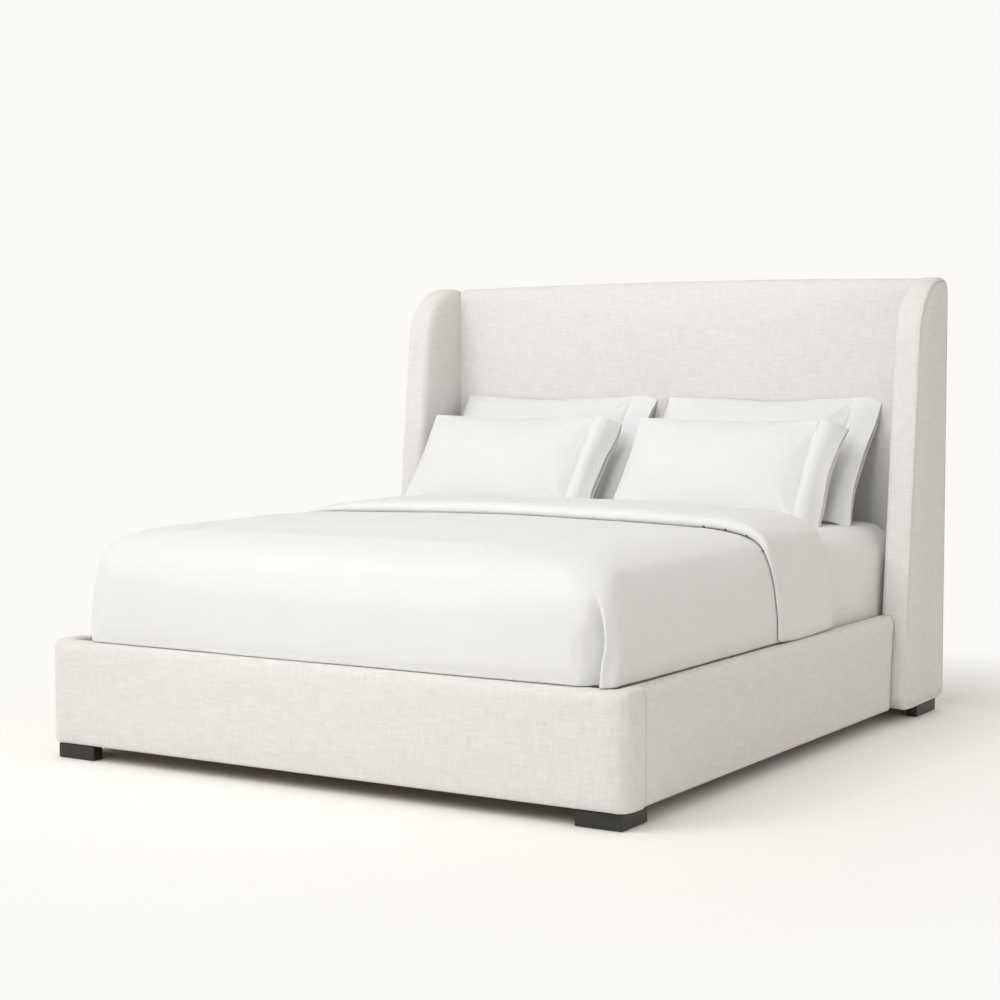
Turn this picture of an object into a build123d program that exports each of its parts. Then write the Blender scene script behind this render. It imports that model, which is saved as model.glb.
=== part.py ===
from build123d import *
import math
import os

# An upholstered bed with a winged headboard, made up with a mattress, a duvet and four pillows.
# X runs across the bed, Y from the foot end to the head end, Z up from the floor.
# The origin is on the floor under the middle of the bed. Lengths are in millimetres.

# Mattress
mattress_width = 1830
mattress_length = 2130
mattress_thickness = 330
mattress_corner_radius = 130
mattress_top_radius = 122
mattress_base_radius = 26
ticking_thickness = 4
base_comfort_layer = 55
top_comfort_layer = 110
sheet_thickness = 1.5
sheet_tuck = 160

# Room round the mattress, inside the frame
side_gap = 15
foot_gap = 17.5
head_gap = 10

# Frame pads
pad_thickness = 55
rail_top = 362
foot_height = 43
cover_thickness = 3
board_thickness = 22
pad_top_radius = 22
pad_base_radius = 8
pad_corner_radius = 28
corner_return = 115
board_top_gap = 20

# Headboard
headboard_thickness = 62.5
headboard_height = 1497
headboard_crown = 10
headboard_top_radius = 28
back_cloth_thickness = 1.5
batten_thickness = 22
batten_width = 70
panel_thickness = 12

# Wings
wing_thickness = 95
wing_front_reach = 345
wing_reach_height = 410
wing_lean_angle = 5.8
wing_top_radius = 215
wing_base_radius = 55
wing_back_top_radius = 30
wing_back_base_radius = 26
wing_inner_round = 20
wing_outer_round = 14
band_inner_seam = 21
band_outer_seam = 15
wing_core_thickness = 45
wing_core_side = 12
wing_foam_front = 30
wing_foam_back = 2

# Slats and what carries them
slat_width = 70
slat_thickness = 18
slat_count = 15
slat_top = 320
slat_end_gap = 5
slat_end_margin = 25
ledge_width = 30
ledge_height = 40
beam_width = 70
beam_height = 60
hanger_plate = 3
hanger_flange = 45
strap_width = 25
strap_thickness = 1.4
strap_offset = 460

# Centre legs and their levelling glides
leg_size = 45
leg_spacing = 650
leg_count = 3
leg_clearance = 20
glide_disc_radius = 18
glide_disc_height = 8
glide_disc_chamfer = 2
glide_stud_radius = 4
glide_stud_length = 52
glide_travel = 10
running_gap = 0.05

# Corner feet
foot_arm = 140
rear_foot_arm = 180
foot_width = 40
front_foot_inset = 18
rear_foot_inset = 37
foot_edge_radius = 2
floor_pad_height = 2
floor_pad_margin = 4
foot_counterbore = 10

# Steel plates and fasteners
plate_thickness = 3
plate_height = 100
plate_base = 110
plate_length = 200
bracket_arm = 80
bracket_reach = 150
plate_bolt_rise = 25
joining_bolt_offset = 75
bolt_radius = 4
bolt_head_radius = 8
bolt_head_height = 3.5
bolt_length = 26
screw_radius = 2.5
screw_head_radius = 5
screw_head_height = 3
screw_length = 38
ledge_screw_count = 7
fastener_gap = 0.1
wing_bolt_count = 3
wing_bolt_length = 120

# Duvet
duvet_side_loft = 24
duvet_foot_loft = 46
duvet_top_loft = 50
duvet_hem_tuck = 14
duvet_shoulder_in = 26
duvet_shoulder_drop = 118
duvet_bend_in = 59
duvet_bend_drop = 57
duvet_flat_in = 180
duvet_flat_drop = 17
duvet_hem_gap = 4
turnback_length = 430
turnback_loft = 38
turnback_lip = 26
duvet_head_gap = 735
pleat_width = 58
pleat_depth = 46
pleat_height = 240
pleat_tip = 5
pleat_lean_share = 1 / 3

# How the duvet rounds over at its foot end: place along the run, drop of its top, pull of its sides
duvet_foot_run = 420
duvet_foot_drop = 154
duvet_foot_pull = 43
foot_round_shares = [
    (0, 1, 1), (0.01, 0.8, 0.76), (0.03, 0.6, 0.55), (0.06, 0.45, 0.36), (0.11, 0.32, 0.2), (0.18, 0.21, 0.1),
    (0.27, 0.13, 0.04), (0.4, 0.06, 0), (0.55, 0.02, 0), (1, 0, 0),
]
belly_share = 0.2
lip_round_shares = [(0, 0.35), (0.08, 0.58), (0.25, 0.8), (0.55, 0.95), (1, 1)]

# Pillows: two tall ones against the headboard and two lower ones that lean on those
pillow_edge = 7
pillow_draw = 16
pillow_draw_power = 3
least_edge_share = 1 / 3
seam_bulge_share = 1.3
cuff_length = 100
cuff_flare = 6
cuff_thickness_share = 0.95
case_thickness = 2
back_pillow_height = 515
back_pillow_loft = 180
back_pillow_lean_angle = 36
back_pillow_inset = 50
back_pillow_gap = 40
back_pillow_room = 110
front_pillow_height = 430
front_pillow_loft = 165
front_pillow_lean_angle = 37
front_pillow_inset = 55
front_pillow_gap = 70
front_pillow_room = 135
pillow_row_spacing = 219.5
fullness_power = 2.6
fullness_root = 0.62
pillow_station_shares = [-1, -0.93, -0.75, -0.4, 0, 0.4, 0.75, 0.93, 1]

# Clearance between pieces that lift off each other, and how far a cut runs past a piece
lift_gap = 0.3
overrun = 20

# Sizes worked out from the ones above
inner_side = mattress_width / 2 + side_gap
outer_side = inner_side + pad_thickness
bed_length = pad_thickness + foot_gap + mattress_length + head_gap + headboard_thickness
foot_face = -bed_length / 2
head_face = bed_length / 2
footboard_inner = foot_face + pad_thickness
return_end = foot_face + corner_return
panel_face = head_face - headboard_thickness
mattress_foot = footboard_inner + foot_gap
mattress_head = mattress_foot + mattress_length
wing_top = headboard_height - headboard_crown
wing_outer = inner_side + wing_thickness
ledge_top = slat_top - slat_thickness
sheet_base = slat_top + lift_gap
mattress_base = sheet_base + sheet_thickness + lift_gap
mattress_top = mattress_base + mattress_thickness
sheet_top = mattress_top + lift_gap + sheet_thickness
lean_slope = math.tan(math.radians(wing_lean_angle))


def block(low, high):
    """Box between two opposite corners."""
    size = [b - a for a, b in zip(low, high)]
    centre = [(a + b) / 2 for a, b in zip(low, high)]
    return Pos(*centre) * Box(*size)


def rounded_face(corners):
    """Face in the XY plane through corners (x, y, radius), each rounded by its own arc."""
    points = [Vector(x, y) for x, y, radius in corners]
    starts = []
    ends = []
    edges = []
    for index, (x, y, radius) in enumerate(corners):
        here = points[index]
        before = (points[index - 1] - here).normalized()
        after = (points[(index + 1) % len(points)] - here).normalized()
        half = math.radians(before.get_angle(after)) / 2
        reach = radius / math.tan(half)
        starts.append(here + before * reach)
        ends.append(here + after * reach)
        if radius > 0:
            middle = here + (before + after).normalized() * (radius / math.sin(half) - radius)
            edges.append(ThreePointArc(starts[-1], middle, ends[-1]))
    for index, start in enumerate(starts):
        edges.append(Line(ends[index - 1], start))
    return make_face(edges)


def rod(start, direction, radius, length):
    """Cylinder that starts at a point and runs along a direction."""
    return Plane(origin=start, z_dir=direction) * extrude(Circle(radius), amount=length)


def screw(start, direction, shank_radius, head_radius, head_height, length):
    """Fastener whose head sits outside the start point and whose shank runs inwards."""
    head_start = Vector(start) - Vector(direction) * head_height
    return rod(head_start, direction, head_radius, head_height) + rod(start, direction, shank_radius, length)


def mirrored(shape):
    """The same piece on the other side of the bed."""
    return shape.mirror(Plane.YZ)


def group(shapes):
    """Several separate solids kept together as one piece list entry."""
    return Compound(children=[solid for shape in shapes for solid in shape.solids()])


def cut_all(shape, tools):
    for tool in tools:
        shape = shape - tool
    return shape


def wing_front(height):
    """Y of the wing's leaning front face at a height."""
    return head_face - wing_front_reach - pad_thickness / 2 + (height - wing_reach_height) * lean_slope


def wing_solid(inset):
    """Right wing as one rounded solid, drawn in by an inset on every side."""
    setback = inset / math.cos(math.radians(wing_lean_angle))
    low = foot_height + inset
    high = wing_top - inset
    back = head_face - inset
    outline = rounded_face([
        (wing_front(low) + setback, low, wing_base_radius - inset),
        (back, low, wing_back_base_radius - inset),
        (back, high, wing_back_top_radius - inset),
        (wing_front(high) + setback, high, wing_top_radius - inset),
    ])
    inner = inner_side + inset
    outer = wing_outer - inset
    solid = Plane(origin=(inner, 0, 0), x_dir=(0, 1, 0), z_dir=(1, 0, 0)) * extrude(outline, amount=outer - inner)
    solid = fillet(solid.faces().sort_by(Axis.X)[0].edges(), wing_inner_round - inset)
    return fillet(solid.faces().sort_by(Axis.X)[-1].edges(), wing_outer_round - inset)


def wing_band_zone():
    """Box round the strip of the wing's shell that the front band covers."""
    return block(
        (inner_side + band_inner_seam, wing_front(0) - overrun, foot_height + cover_thickness),
        (wing_outer - band_outer_seam, head_face - wing_back_top_radius, wing_top + overrun),
    )


def wing_bolt_places():
    low = rail_top + wing_bolt_length
    step = (wing_top - wing_bolt_length - low) / (wing_bolt_count - 1)
    y = head_face - back_cloth_thickness - batten_thickness / 2
    return [(y, low + step * index) for index in range(wing_bolt_count)]


def wing_bolts():
    start = inner_side + wing_core_side + cover_thickness + wing_core_thickness
    inwards = (-1, 0, 0)
    return [
        screw((start, y, z), inwards, bolt_radius, bolt_head_radius, bolt_head_height, wing_bolt_length)
        for y, z in wing_bolt_places()
    ]


def wing_bolt_holes():
    start = inner_side + wing_core_side + cover_thickness + wing_core_thickness
    inwards = (-1, 0, 0)
    holes = []
    for y, z in wing_bolt_places():
        holes.append(screw(
            (start, y, z), inwards, bolt_radius + fastener_gap, bolt_head_radius + fastener_gap,
            bolt_head_height + fastener_gap, wing_bolt_length + fastener_gap,
        ))
    return holes


def wing_core():
    """Timber core of the right wing, closer to the inner face so that the outer padding is fuller."""
    front = cover_thickness + wing_foam_front
    wrap = cover_thickness + wing_foam_back
    setback = front / math.cos(math.radians(wing_lean_angle))
    low = foot_height + wrap
    high = wing_top - front
    back = head_face - wrap
    outline = rounded_face([
        (wing_front(low) + setback, low, wing_base_radius - front),
        (back, low, wing_back_base_radius - wrap),
        (back, high, 0),
        (wing_front(high) + setback, high, wing_top_radius - front),
    ])
    start = inner_side + cover_thickness + wing_core_side
    return Plane(origin=(start, 0, 0), x_dir=(0, 1, 0), z_dir=(1, 0, 0)) * extrude(
        outline, amount=wing_core_thickness
    )


def headboard_solid(inset, back):
    """Centre pad between the wings, drawn in by an inset, with its back at a given Y."""
    side = inner_side - inset
    high = wing_top - inset
    low = foot_height + inset
    crown = high + headboard_crown
    outline = make_face([
        Line((-side, high), (-side, low)),
        Line((-side, low), (side, low)),
        Line((side, low), (side, high)),
        ThreePointArc((side, high), (0, crown), (-side, high)),
    ])
    front = panel_face + inset
    solid = Plane(origin=(0, back, 0), x_dir=(1, 0, 0), z_dir=(0, -1, 0)) * extrude(outline, amount=back - front)
    top_edge = solid.faces().sort_by(Axis.Y)[0].edges().sort_by(Axis.Z)[-1]
    return fillet(top_edge, headboard_top_radius - inset)


def headboard_battens():
    """Butt-jointed timber frame behind the headboard's plywood."""
    front = head_face - back_cloth_thickness - batten_thickness
    back = head_face - back_cloth_thickness
    side = inner_side - cover_thickness
    low = foot_height + cover_thickness
    high = wing_top - headboard_top_radius
    uprights = [-side, -batten_width / 2, side - batten_width]
    bars = [block((x, front, low), (x + batten_width, back, high)) for x in uprights]
    bays = list(zip([x + batten_width for x in uprights], uprights[1:]))
    for left, right in bays:
        for base in (low, (low + high) / 2, high - batten_width):
            bars.append(block((left, front, base), (right, back, base + batten_width)))
    return group(bars)


def headboard_panel():
    front = head_face - back_cloth_thickness - batten_thickness - panel_thickness
    side = inner_side - cover_thickness
    return block(
        (-side, front, foot_height + cover_thickness),
        (side, front + panel_thickness, wing_top - headboard_top_radius),
    )


def headboard_back_cloth():
    side = inner_side - cover_thickness
    return block(
        (-side, head_face - back_cloth_thickness, foot_height + cover_thickness),
        (side, head_face, wing_top - cover_thickness),
    )


def rail_section(inset, side):
    """Cross-section of a side rail in X and Z, drawn in by an inset."""
    inner = inner_side + inset
    outer = side - inset
    low = foot_height + inset
    high = rail_top - inset
    return rounded_face([
        (inner, low, pad_base_radius - inset),
        (outer, low, pad_base_radius - inset),
        (outer, high, pad_top_radius - inset),
        (inner, high, pad_base_radius - inset),
    ])


def rail_solid(inset):
    """Right side rail from the footboard's return to the leaning front of the wing."""
    start = return_end + inset
    end = wing_front(rail_top) + overrun
    bar = Plane(origin=(0, end, 0), x_dir=(1, 0, 0), z_dir=(0, -1, 0)) * extrude(
        rail_section(inset, outer_side), amount=end - start
    )
    setback = inset / math.cos(math.radians(wing_lean_angle))
    wing_plane = Plane(
        origin=(0, wing_front(0) - setback, 0),
        x_dir=(1, 0, 0),
        z_dir=(0, math.cos(math.radians(wing_lean_angle)), -math.sin(math.radians(wing_lean_angle))),
    )
    return split(bar, bisect_by=wing_plane, keep=Keep.BOTTOM)


def rail_board():
    end = wing_front(foot_height) - cover_thickness - pad_base_radius
    return block(
        (inner_side + cover_thickness, return_end + cover_thickness, foot_height + pad_base_radius),
        (inner_side + cover_thickness + board_thickness, end, rail_top - board_top_gap),
    )


def footboard_solid(inset):
    """Footboard pad with a return at each end, drawn in by an inset."""
    outer = outer_side - inset
    inner = inner_side + inset
    front = foot_face + inset
    back = footboard_inner - inset
    end = return_end - inset
    corner = pad_corner_radius - inset
    outline = rounded_face([
        (-outer, front, corner),
        (outer, front, corner),
        (outer, end, 0),
        (inner, end, 0),
        (inner, back, 0),
        (-inner, back, 0),
        (-inner, end, 0),
        (-outer, end, 0),
    ])
    low = foot_height + inset
    high = rail_top - inset
    solid = Pos(0, 0, low) * extrude(outline, amount=high - low)
    for level, radius in ((high, pad_top_radius), (low, pad_base_radius)):
        rim = [
            edge for edge in solid.edges()
            if abs(edge.center().Z - level) < inset + lift_gap
            and (edge.center().Y < back - pad_corner_radius or abs(edge.center().X) > outer - pad_corner_radius / 2)
            and edge.length > corner
            and abs(edge.center().Y - end) > corner
        ]
        solid = fillet(rim, radius - inset)
    return solid


def footboard_board():
    side = inner_side + cover_thickness + board_thickness
    back = footboard_inner - cover_thickness
    return block(
        (-side, back - board_thickness, foot_height + cover_thickness),
        (side, back, rail_top - board_top_gap),
    )


def corner_block():
    """Timber block inside the right return of the footboard."""
    return block(
        (inner_side + cover_thickness, footboard_inner - cover_thickness, foot_height + cover_thickness),
        (inner_side + cover_thickness + board_thickness, return_end - cover_thickness, rail_top - board_top_gap),
    )


def ledge():
    """Batten along the right rail that carries the slat ends."""
    return block(
        (inner_side - ledge_width, footboard_inner, ledge_top - ledge_height),
        (inner_side, panel_face, ledge_top),
    )


def ledge_screws(gap):
    """Screws through the right ledge into the rail's board."""
    first = return_end + plate_length / 2
    last = wing_front(rail_top) - plate_length / 2
    step = (last - first) / (ledge_screw_count - 1)
    z = ledge_top - ledge_height / 2
    return [
        screw(
            (inner_side - ledge_width, first + step * index, z), (1, 0, 0), screw_radius + gap,
            screw_head_radius + gap, screw_head_height, screw_length + gap,
        )
        for index in range(ledge_screw_count)
    ]


def slat_places():
    first = footboard_inner + slat_end_margin
    last = panel_face - slat_end_margin - slat_width
    step = (last - first) / (slat_count - 1)
    return [first + step * index for index in range(slat_count)]


def slat_screws(gap):
    """Screws that hold the first, middle and last slats down on both ledges."""
    places = slat_places()
    screws = []
    for y in (places[0], places[slat_count // 2], places[-1]):
        for side in (-1, 1):
            x = side * (inner_side - ledge_width / 2)
            head = (x, y + slat_width / 2, slat_top - screw_head_height)
            screws.append(screw(
                head, (0, 0, -1), screw_radius + gap, screw_head_radius + gap,
                screw_head_height, screw_length + gap,
            ))
    return screws


def slats():
    side = inner_side - slat_end_gap
    bars = [
        block((-side, y, ledge_top), (side, y + slat_width, slat_top)) for y in slat_places()
    ]
    holes = slat_screws(fastener_gap)
    return group([cut_all(bar, holes) for bar in bars])


def slat_straps():
    """Two webbing straps stapled under the slats to keep their spacing."""
    places = slat_places()
    return group([
        block(
            (side * strap_offset - strap_width / 2, places[0], ledge_top - strap_thickness),
            (side * strap_offset + strap_width / 2, places[-1] + slat_width, ledge_top),
        )
        for side in (-1, 1)
    ])


def leg_places():
    return [(index - (leg_count - 1) / 2) * leg_spacing for index in range(leg_count)]


def centre_beam():
    return block(
        (-beam_width / 2, footboard_inner + hanger_plate, ledge_top - beam_height),
        (beam_width / 2, panel_face - hanger_plate, ledge_top),
    )


def beam_hanger(face, inwards):
    """Steel seat that holds one end of the centre beam, with side flanges for its screws."""
    low = ledge_top - beam_height
    side = beam_width / 2
    depth = inwards * leg_size
    plate = inwards * hanger_plate
    pieces = [
        block((-side - hanger_flange, min(face, face + plate), low - hanger_plate),
              (side + hanger_flange, max(face, face + plate), ledge_top - hanger_plate)),
        block((-side - hanger_plate, min(face, face + depth), low - hanger_plate),
              (side + hanger_plate, max(face, face + depth), low)),
    ]
    for edge in (-side - hanger_plate, side):
        pieces.append(block((edge, min(face, face + depth), low - hanger_plate),
                            (edge + hanger_plate, max(face, face + depth), ledge_top - hanger_plate)))
    hanger = pieces[0]
    for piece in pieces[1:]:
        hanger = hanger + piece
    return cut_all(hanger, hanger_screws(face, inwards, fastener_gap))


def hanger_screws(face, inwards, gap):
    """Screws through a hanger's flanges into the board behind it."""
    z = ledge_top - beam_height / 2
    x = beam_width / 2 + hanger_flange / 2
    start = face + inwards * hanger_plate
    return [
        screw((side * x, start, z), (0, -inwards, 0), screw_radius + gap, screw_head_radius + gap,
              screw_head_height, screw_length + gap)
        for side in (-1, 1)
    ]


def centre_leg(y):
    leg = block(
        (-leg_size / 2, y - leg_size / 2, leg_clearance),
        (leg_size / 2, y + leg_size / 2, ledge_top - beam_height),
    )
    bore_depth = glide_disc_height + glide_stud_length + 2 * glide_travel - leg_clearance
    return leg - rod((0, y, leg_clearance), (0, 0, 1), glide_stud_radius + running_gap, bore_depth)


def levelling_glide(y):
    """Nylon disc with a threaded stud that turns up into the leg."""
    disc = Pos(0, y, glide_disc_height / 2) * Cylinder(glide_disc_radius, glide_disc_height)
    disc = chamfer(disc.edges().group_by(Axis.Z)[-1], glide_disc_chamfer)
    return disc + rod((0, y, 0), (0, 0, 1), glide_stud_radius, glide_disc_height + glide_stud_length)


def foot_outline(corner_x, corner_y, arm_x, arm_y, inset):
    """L-shaped outline of a foot whose outer corner lies at a point and whose arms run inwards."""
    across = math.copysign(1, arm_x)
    along = math.copysign(1, arm_y)
    near_x = corner_x + across * inset
    near_y = corner_y + along * inset
    far_x = corner_x + arm_x - across * inset
    far_y = corner_y + arm_y - along * inset
    step_x = corner_x + across * (foot_width - inset)
    step_y = corner_y + along * (foot_width - inset)
    return rounded_face([
        (near_x, near_y, 0), (far_x, near_y, 0), (far_x, step_y, 0),
        (step_x, step_y, 0), (step_x, far_y, 0), (near_x, far_y, 0),
    ])


def front_foot_sizes():
    return (outer_side - front_foot_inset, foot_face + front_foot_inset, -foot_arm, foot_arm)


def rear_foot_sizes():
    return (wing_outer - front_foot_inset, head_face - rear_foot_inset, -foot_arm, -rear_foot_arm)


def front_foot_screw_places():
    x, y, arm_x, arm_y = front_foot_sizes()
    board_y = footboard_inner - cover_thickness - board_thickness / 2
    block_x = inner_side + cover_thickness + board_thickness / 2
    return [(x + arm_x + foot_width / 2, board_y), (x - foot_width, board_y), (block_x, y + arm_y / 2)]


def rear_foot_screw_places():
    x, y, arm_x, arm_y = rear_foot_sizes()
    core_x = inner_side + cover_thickness + wing_core_side + wing_core_thickness / 2
    return [(core_x, y + arm_y + foot_width / 2), (core_x, y + arm_y / 2), (core_x, y - foot_width / 2)]


def foot_screws(places, gap):
    level = floor_pad_height + foot_counterbore
    return [
        screw((x, y, level), (0, 0, 1), screw_radius + gap, screw_head_radius + gap,
              foot_counterbore if gap else screw_head_height, foot_height + screw_length - level + gap)
        for x, y in places
    ]


def corner_foot(sizes, places):
    """Right-hand foot; its screws go up from counterbores in the underside."""
    foot = Pos(0, 0, floor_pad_height) * extrude(foot_outline(*sizes, 0), amount=foot_height - floor_pad_height)
    foot = chamfer(foot.edges().filter_by(Axis.Z), foot_edge_radius)
    return cut_all(foot, foot_screws(places, fastener_gap))


def floor_pad(sizes):
    return extrude(foot_outline(*sizes, floor_pad_margin), amount=floor_pad_height)


def plate_bolts(places, face, direction, gap):
    """Bolts through a plate that lies on a face, at the given places along it."""
    level = plate_base + plate_height / 2
    bolts = []
    for place in places:
        for z in (level - plate_bolt_rise, level + plate_bolt_rise):
            start = (face - direction[0] * plate_thickness, place, z)
            if direction[1]:
                start = (place, face - direction[1] * plate_thickness, z)
            bolts.append(screw(start, direction, bolt_radius + gap, bolt_head_radius + gap,
                               bolt_head_height, bolt_length + gap))
    return bolts


def corner_bracket_bolts(gap):
    """Bolts of the right front bracket: into the footboard, the corner block and the rail."""
    along = [footboard_inner + bolt_length, return_end + plate_length / 2]
    across = [inner_side - bracket_arm + bolt_length]
    return plate_bolts(along, inner_side, (1, 0, 0), gap) + plate_bolts(across, footboard_inner, (0, -1, 0), gap)


def corner_bracket():
    """Steel angle in the right front corner, across the joint of footboard and rail."""
    high = plate_base + plate_height
    along = block((inner_side - plate_thickness, footboard_inner, plate_base),
                  (inner_side, return_end + bracket_reach, high))
    across = block((inner_side - bracket_arm, footboard_inner, plate_base),
                   (inner_side, footboard_inner + plate_thickness, high))
    return cut_all(along + across, corner_bracket_bolts(fastener_gap))


def joining_plate_places():
    middle = wing_front(plate_base)
    return [middle - joining_bolt_offset, middle + joining_bolt_offset]


def joining_plate():
    """Flat steel plate from the right rail to its wing, on their inner faces."""
    middle = wing_front(plate_base)
    plate = block(
        (inner_side - plate_thickness, middle - plate_length / 2, plate_base),
        (inner_side, middle + plate_length / 2, plate_base + plate_height),
    )
    return cut_all(plate, joining_plate_bolts(fastener_gap))


def joining_plate_bolts(gap):
    return plate_bolts(joining_plate_places(), inner_side, (1, 0, 0), gap)


def mattress_solid(outset, base):
    """Mattress block, grown by an outset, with its underside at a given height."""
    width = mattress_width + 2 * outset
    length = mattress_length + 2 * outset
    top = mattress_top + outset
    middle = (mattress_foot + mattress_head) / 2
    solid = Pos(0, middle, base) * extrude(
        RectangleRounded(width, length, mattress_corner_radius + outset), amount=top - base
    )
    solid = fillet(solid.faces().sort_by(Axis.Z)[-1].edges(), mattress_top_radius + outset)
    return fillet(solid.faces().sort_by(Axis.Z)[0].edges(), mattress_base_radius + outset)


def mattress_layer(low, high):
    """Slice of the mattress's filling between two heights."""
    inside = mattress_solid(-ticking_thickness, mattress_base + ticking_thickness)
    slab = block((-mattress_width, foot_face, low), (mattress_width, head_face, high))
    return inside & slab


def fitted_sheet():
    """Sheet over the mattress, tucked under its edges."""
    outer = mattress_solid(lift_gap + sheet_thickness, sheet_base)
    inner = mattress_solid(lift_gap, mattress_base - lift_gap)
    side = mattress_width / 2 - sheet_tuck
    opening = block(
        (-side, mattress_foot + sheet_tuck, sheet_base - overrun),
        (side, mattress_head - sheet_tuck, mattress_base + overrun),
    )
    return outer - inner - opening


def duvet_section(y, rise, pull):
    """Outline of the duvet across the bed: rise lifts its top, pull draws its sides in."""
    side = mattress_width / 2 + duvet_side_loft - pull
    top = mattress_top + duvet_top_loft + rise
    hem = rail_top + duvet_hem_gap
    belly = hem + (top - hem) * belly_share
    shoulder = top - duvet_shoulder_drop
    right = [
        (side - duvet_hem_tuck, hem),
        (side, belly),
        (side - duvet_shoulder_in, shoulder),
        (side - duvet_bend_in, top - duvet_bend_drop),
        (side - duvet_flat_in, top - duvet_flat_drop),
    ]
    left = [(-x, z) for x, z in right]
    edges = [
        Line(left[0], right[0]),
        ThreePointArc(*right[0:3]),
        ThreePointArc(*right[2:5]),
        ThreePointArc(right[4], (0, top), left[4]),
        ThreePointArc(*reversed(left[2:5])),
        ThreePointArc(*reversed(left[0:3])),
    ]
    return Plane(origin=(0, y, 0), x_dir=(1, 0, 0), z_dir=(0, -1, 0)) * make_face(edges)


def duvet_pleat():
    """Pocket that the folded cloth leaves open at the right foot corner."""
    foot = mattress_foot - duvet_foot_loft
    side = mattress_width / 2
    low = rail_top
    high = rail_top + pleat_height

    def wedge(width, depth, lean):
        return rounded_face([
            (side - lean - width, foot - pleat_tip, 0),
            (side - lean, foot - pleat_tip, 0),
            (side - lean - width * pleat_lean_share, foot + depth, 0),
        ])

    base = Pos(0, 0, low) * wedge(pleat_width, pleat_depth, duvet_hem_tuck)
    tip = Pos(0, 0, high) * wedge(pleat_tip, pleat_tip * 2, duvet_shoulder_in)
    return loft([base, tip])


def duvet():
    """Duvet over the mattress, its head end turned back on itself, with a pocket at each foot corner."""
    foot = mattress_foot - duvet_foot_loft
    fold = mattress_head - duvet_head_gap
    edge = fold - turnback_length
    body = [
        duvet_section(foot + share * duvet_foot_run, -drop * duvet_foot_drop, pull * duvet_foot_pull)
        for share, drop, pull in foot_round_shares
    ]
    body.append(duvet_section(edge, 0, 0))
    turned = [
        duvet_section(edge + share * turnback_lip, rise * turnback_loft, 0)
        for share, rise in lip_round_shares
    ]
    turned += [
        duvet_section(fold - share * turnback_loft, rise * turnback_loft, 0)
        for share, rise in reversed(lip_round_shares)
    ]
    outside = loft(body, ruled=True) + loft(turned, ruled=True)
    reach = lift_gap * 2 + sheet_thickness
    hollow = mattress_solid(reach, mattress_base - overrun * 2)
    outside = outside - hollow
    skirt = block(
        (-mattress_width / 2 - reach, mattress_head - duvet_head_gap - turnback_length, foot_height),
        (mattress_width / 2 + reach, head_face, mattress_top - mattress_top_radius),
    )
    outside = outside - skirt
    return outside - duvet_pleat() - mirrored(duvet_pleat())


def pillow_body(length, height, fill, inset):
    """Stuffed bag: thin at its edges, full in the middle, its long sides drawn in."""
    half_length = length / 2 - inset
    edge = max(pillow_edge - inset, pillow_edge * least_edge_share)
    faces = []
    for share in pillow_station_shares:
        fullness = (1 - abs(share) ** fullness_power) ** fullness_root
        seam_bulge = edge * seam_bulge_share
        bulge = seam_bulge + (fill / 2 - seam_bulge - inset) * fullness
        tall = height / 2 - inset - pillow_draw * (1 - abs(share) ** pillow_draw_power)
        outline = make_face([
            ThreePointArc((-tall, -edge), (0, -bulge), (tall, -edge)),
            Line((tall, -edge), (tall, edge)),
            ThreePointArc((tall, edge), (0, bulge), (-tall, edge)),
            Line((-tall, edge), (-tall, -edge)),
        ])
        faces.append(Plane(origin=(share * half_length, 0, 0), x_dir=(0, 1, 0), z_dir=(1, 0, 0)) * outline)
    return loft(faces)


def pillow_case(length, height, fill):
    """Pillow case with the flat cuff at its open end, hollow for the filling."""
    start = length / 2 - pillow_edge
    end = length / 2 + cuff_length
    faces = []
    for x, tall in ((start, height / 2 - pillow_edge), (end, height / 2 + cuff_flare)):
        outline = Rectangle(2 * tall, 2 * pillow_edge * cuff_thickness_share)
        faces.append(Plane(origin=(x, 0, 0), x_dir=(0, 1, 0), z_dir=(1, 0, 0)) * outline)
    case = pillow_body(length, height, fill, 0) + loft(faces)
    return case - pillow_body(length, height, fill, case_thickness)


def pillow_place(offset, centre_y, height, lean):
    """Frame of a leaning pillow: its X along the bed's X, its Y up the slope."""
    angle = math.radians(lean)
    rise = (height / 2 + cuff_flare) * math.cos(angle) + pillow_edge * math.sin(angle) + lift_gap
    return Plane(
        origin=(offset, centre_y, sheet_top + rise),
        x_dir=(1, 0, 0),
        z_dir=(0, -math.cos(angle), math.sin(angle)),
    )


def pillow_length(inset, gap, room):
    """Length of each pillow of a pair, without its cuff, that fills the width but for these clearances."""
    return (2 * inner_side - inset - gap - room) / 2 - cuff_length


def pillow_rows():
    """Each row's name, pillow sizes and the two frames its pillows stand in."""
    angle = math.radians(back_pillow_lean_angle)
    tip = (back_pillow_height / 2 + cuff_flare) * math.sin(angle) + pillow_edge * math.cos(angle)
    back_y = panel_face - tip - lift_gap
    front_y = back_y - pillow_row_spacing
    rows = [
        ("back", back_pillow_height, back_pillow_loft, back_pillow_lean_angle,
         (back_pillow_inset, back_pillow_gap, back_pillow_room), back_y),
        ("front", front_pillow_height, front_pillow_loft, front_pillow_lean_angle,
         (front_pillow_inset, front_pillow_gap, front_pillow_room), front_y),
    ]
    placed = []
    for name, height, fill, lean, (inset, gap, room), centre_y in rows:
        length = pillow_length(inset, gap, room)
        left = -inner_side + inset + length / 2
        places = {
            "left": pillow_place(left, centre_y, height, lean),
            "right": pillow_place(left + length + cuff_length + gap, centre_y, height, lean),
        }
        placed.append((name, (length, height, fill), places))
    return placed


def add_sided(pieces, name, shape):
    pieces["right_" + name] = shape
    pieces["left_" + name] = mirrored(shape)


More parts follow.
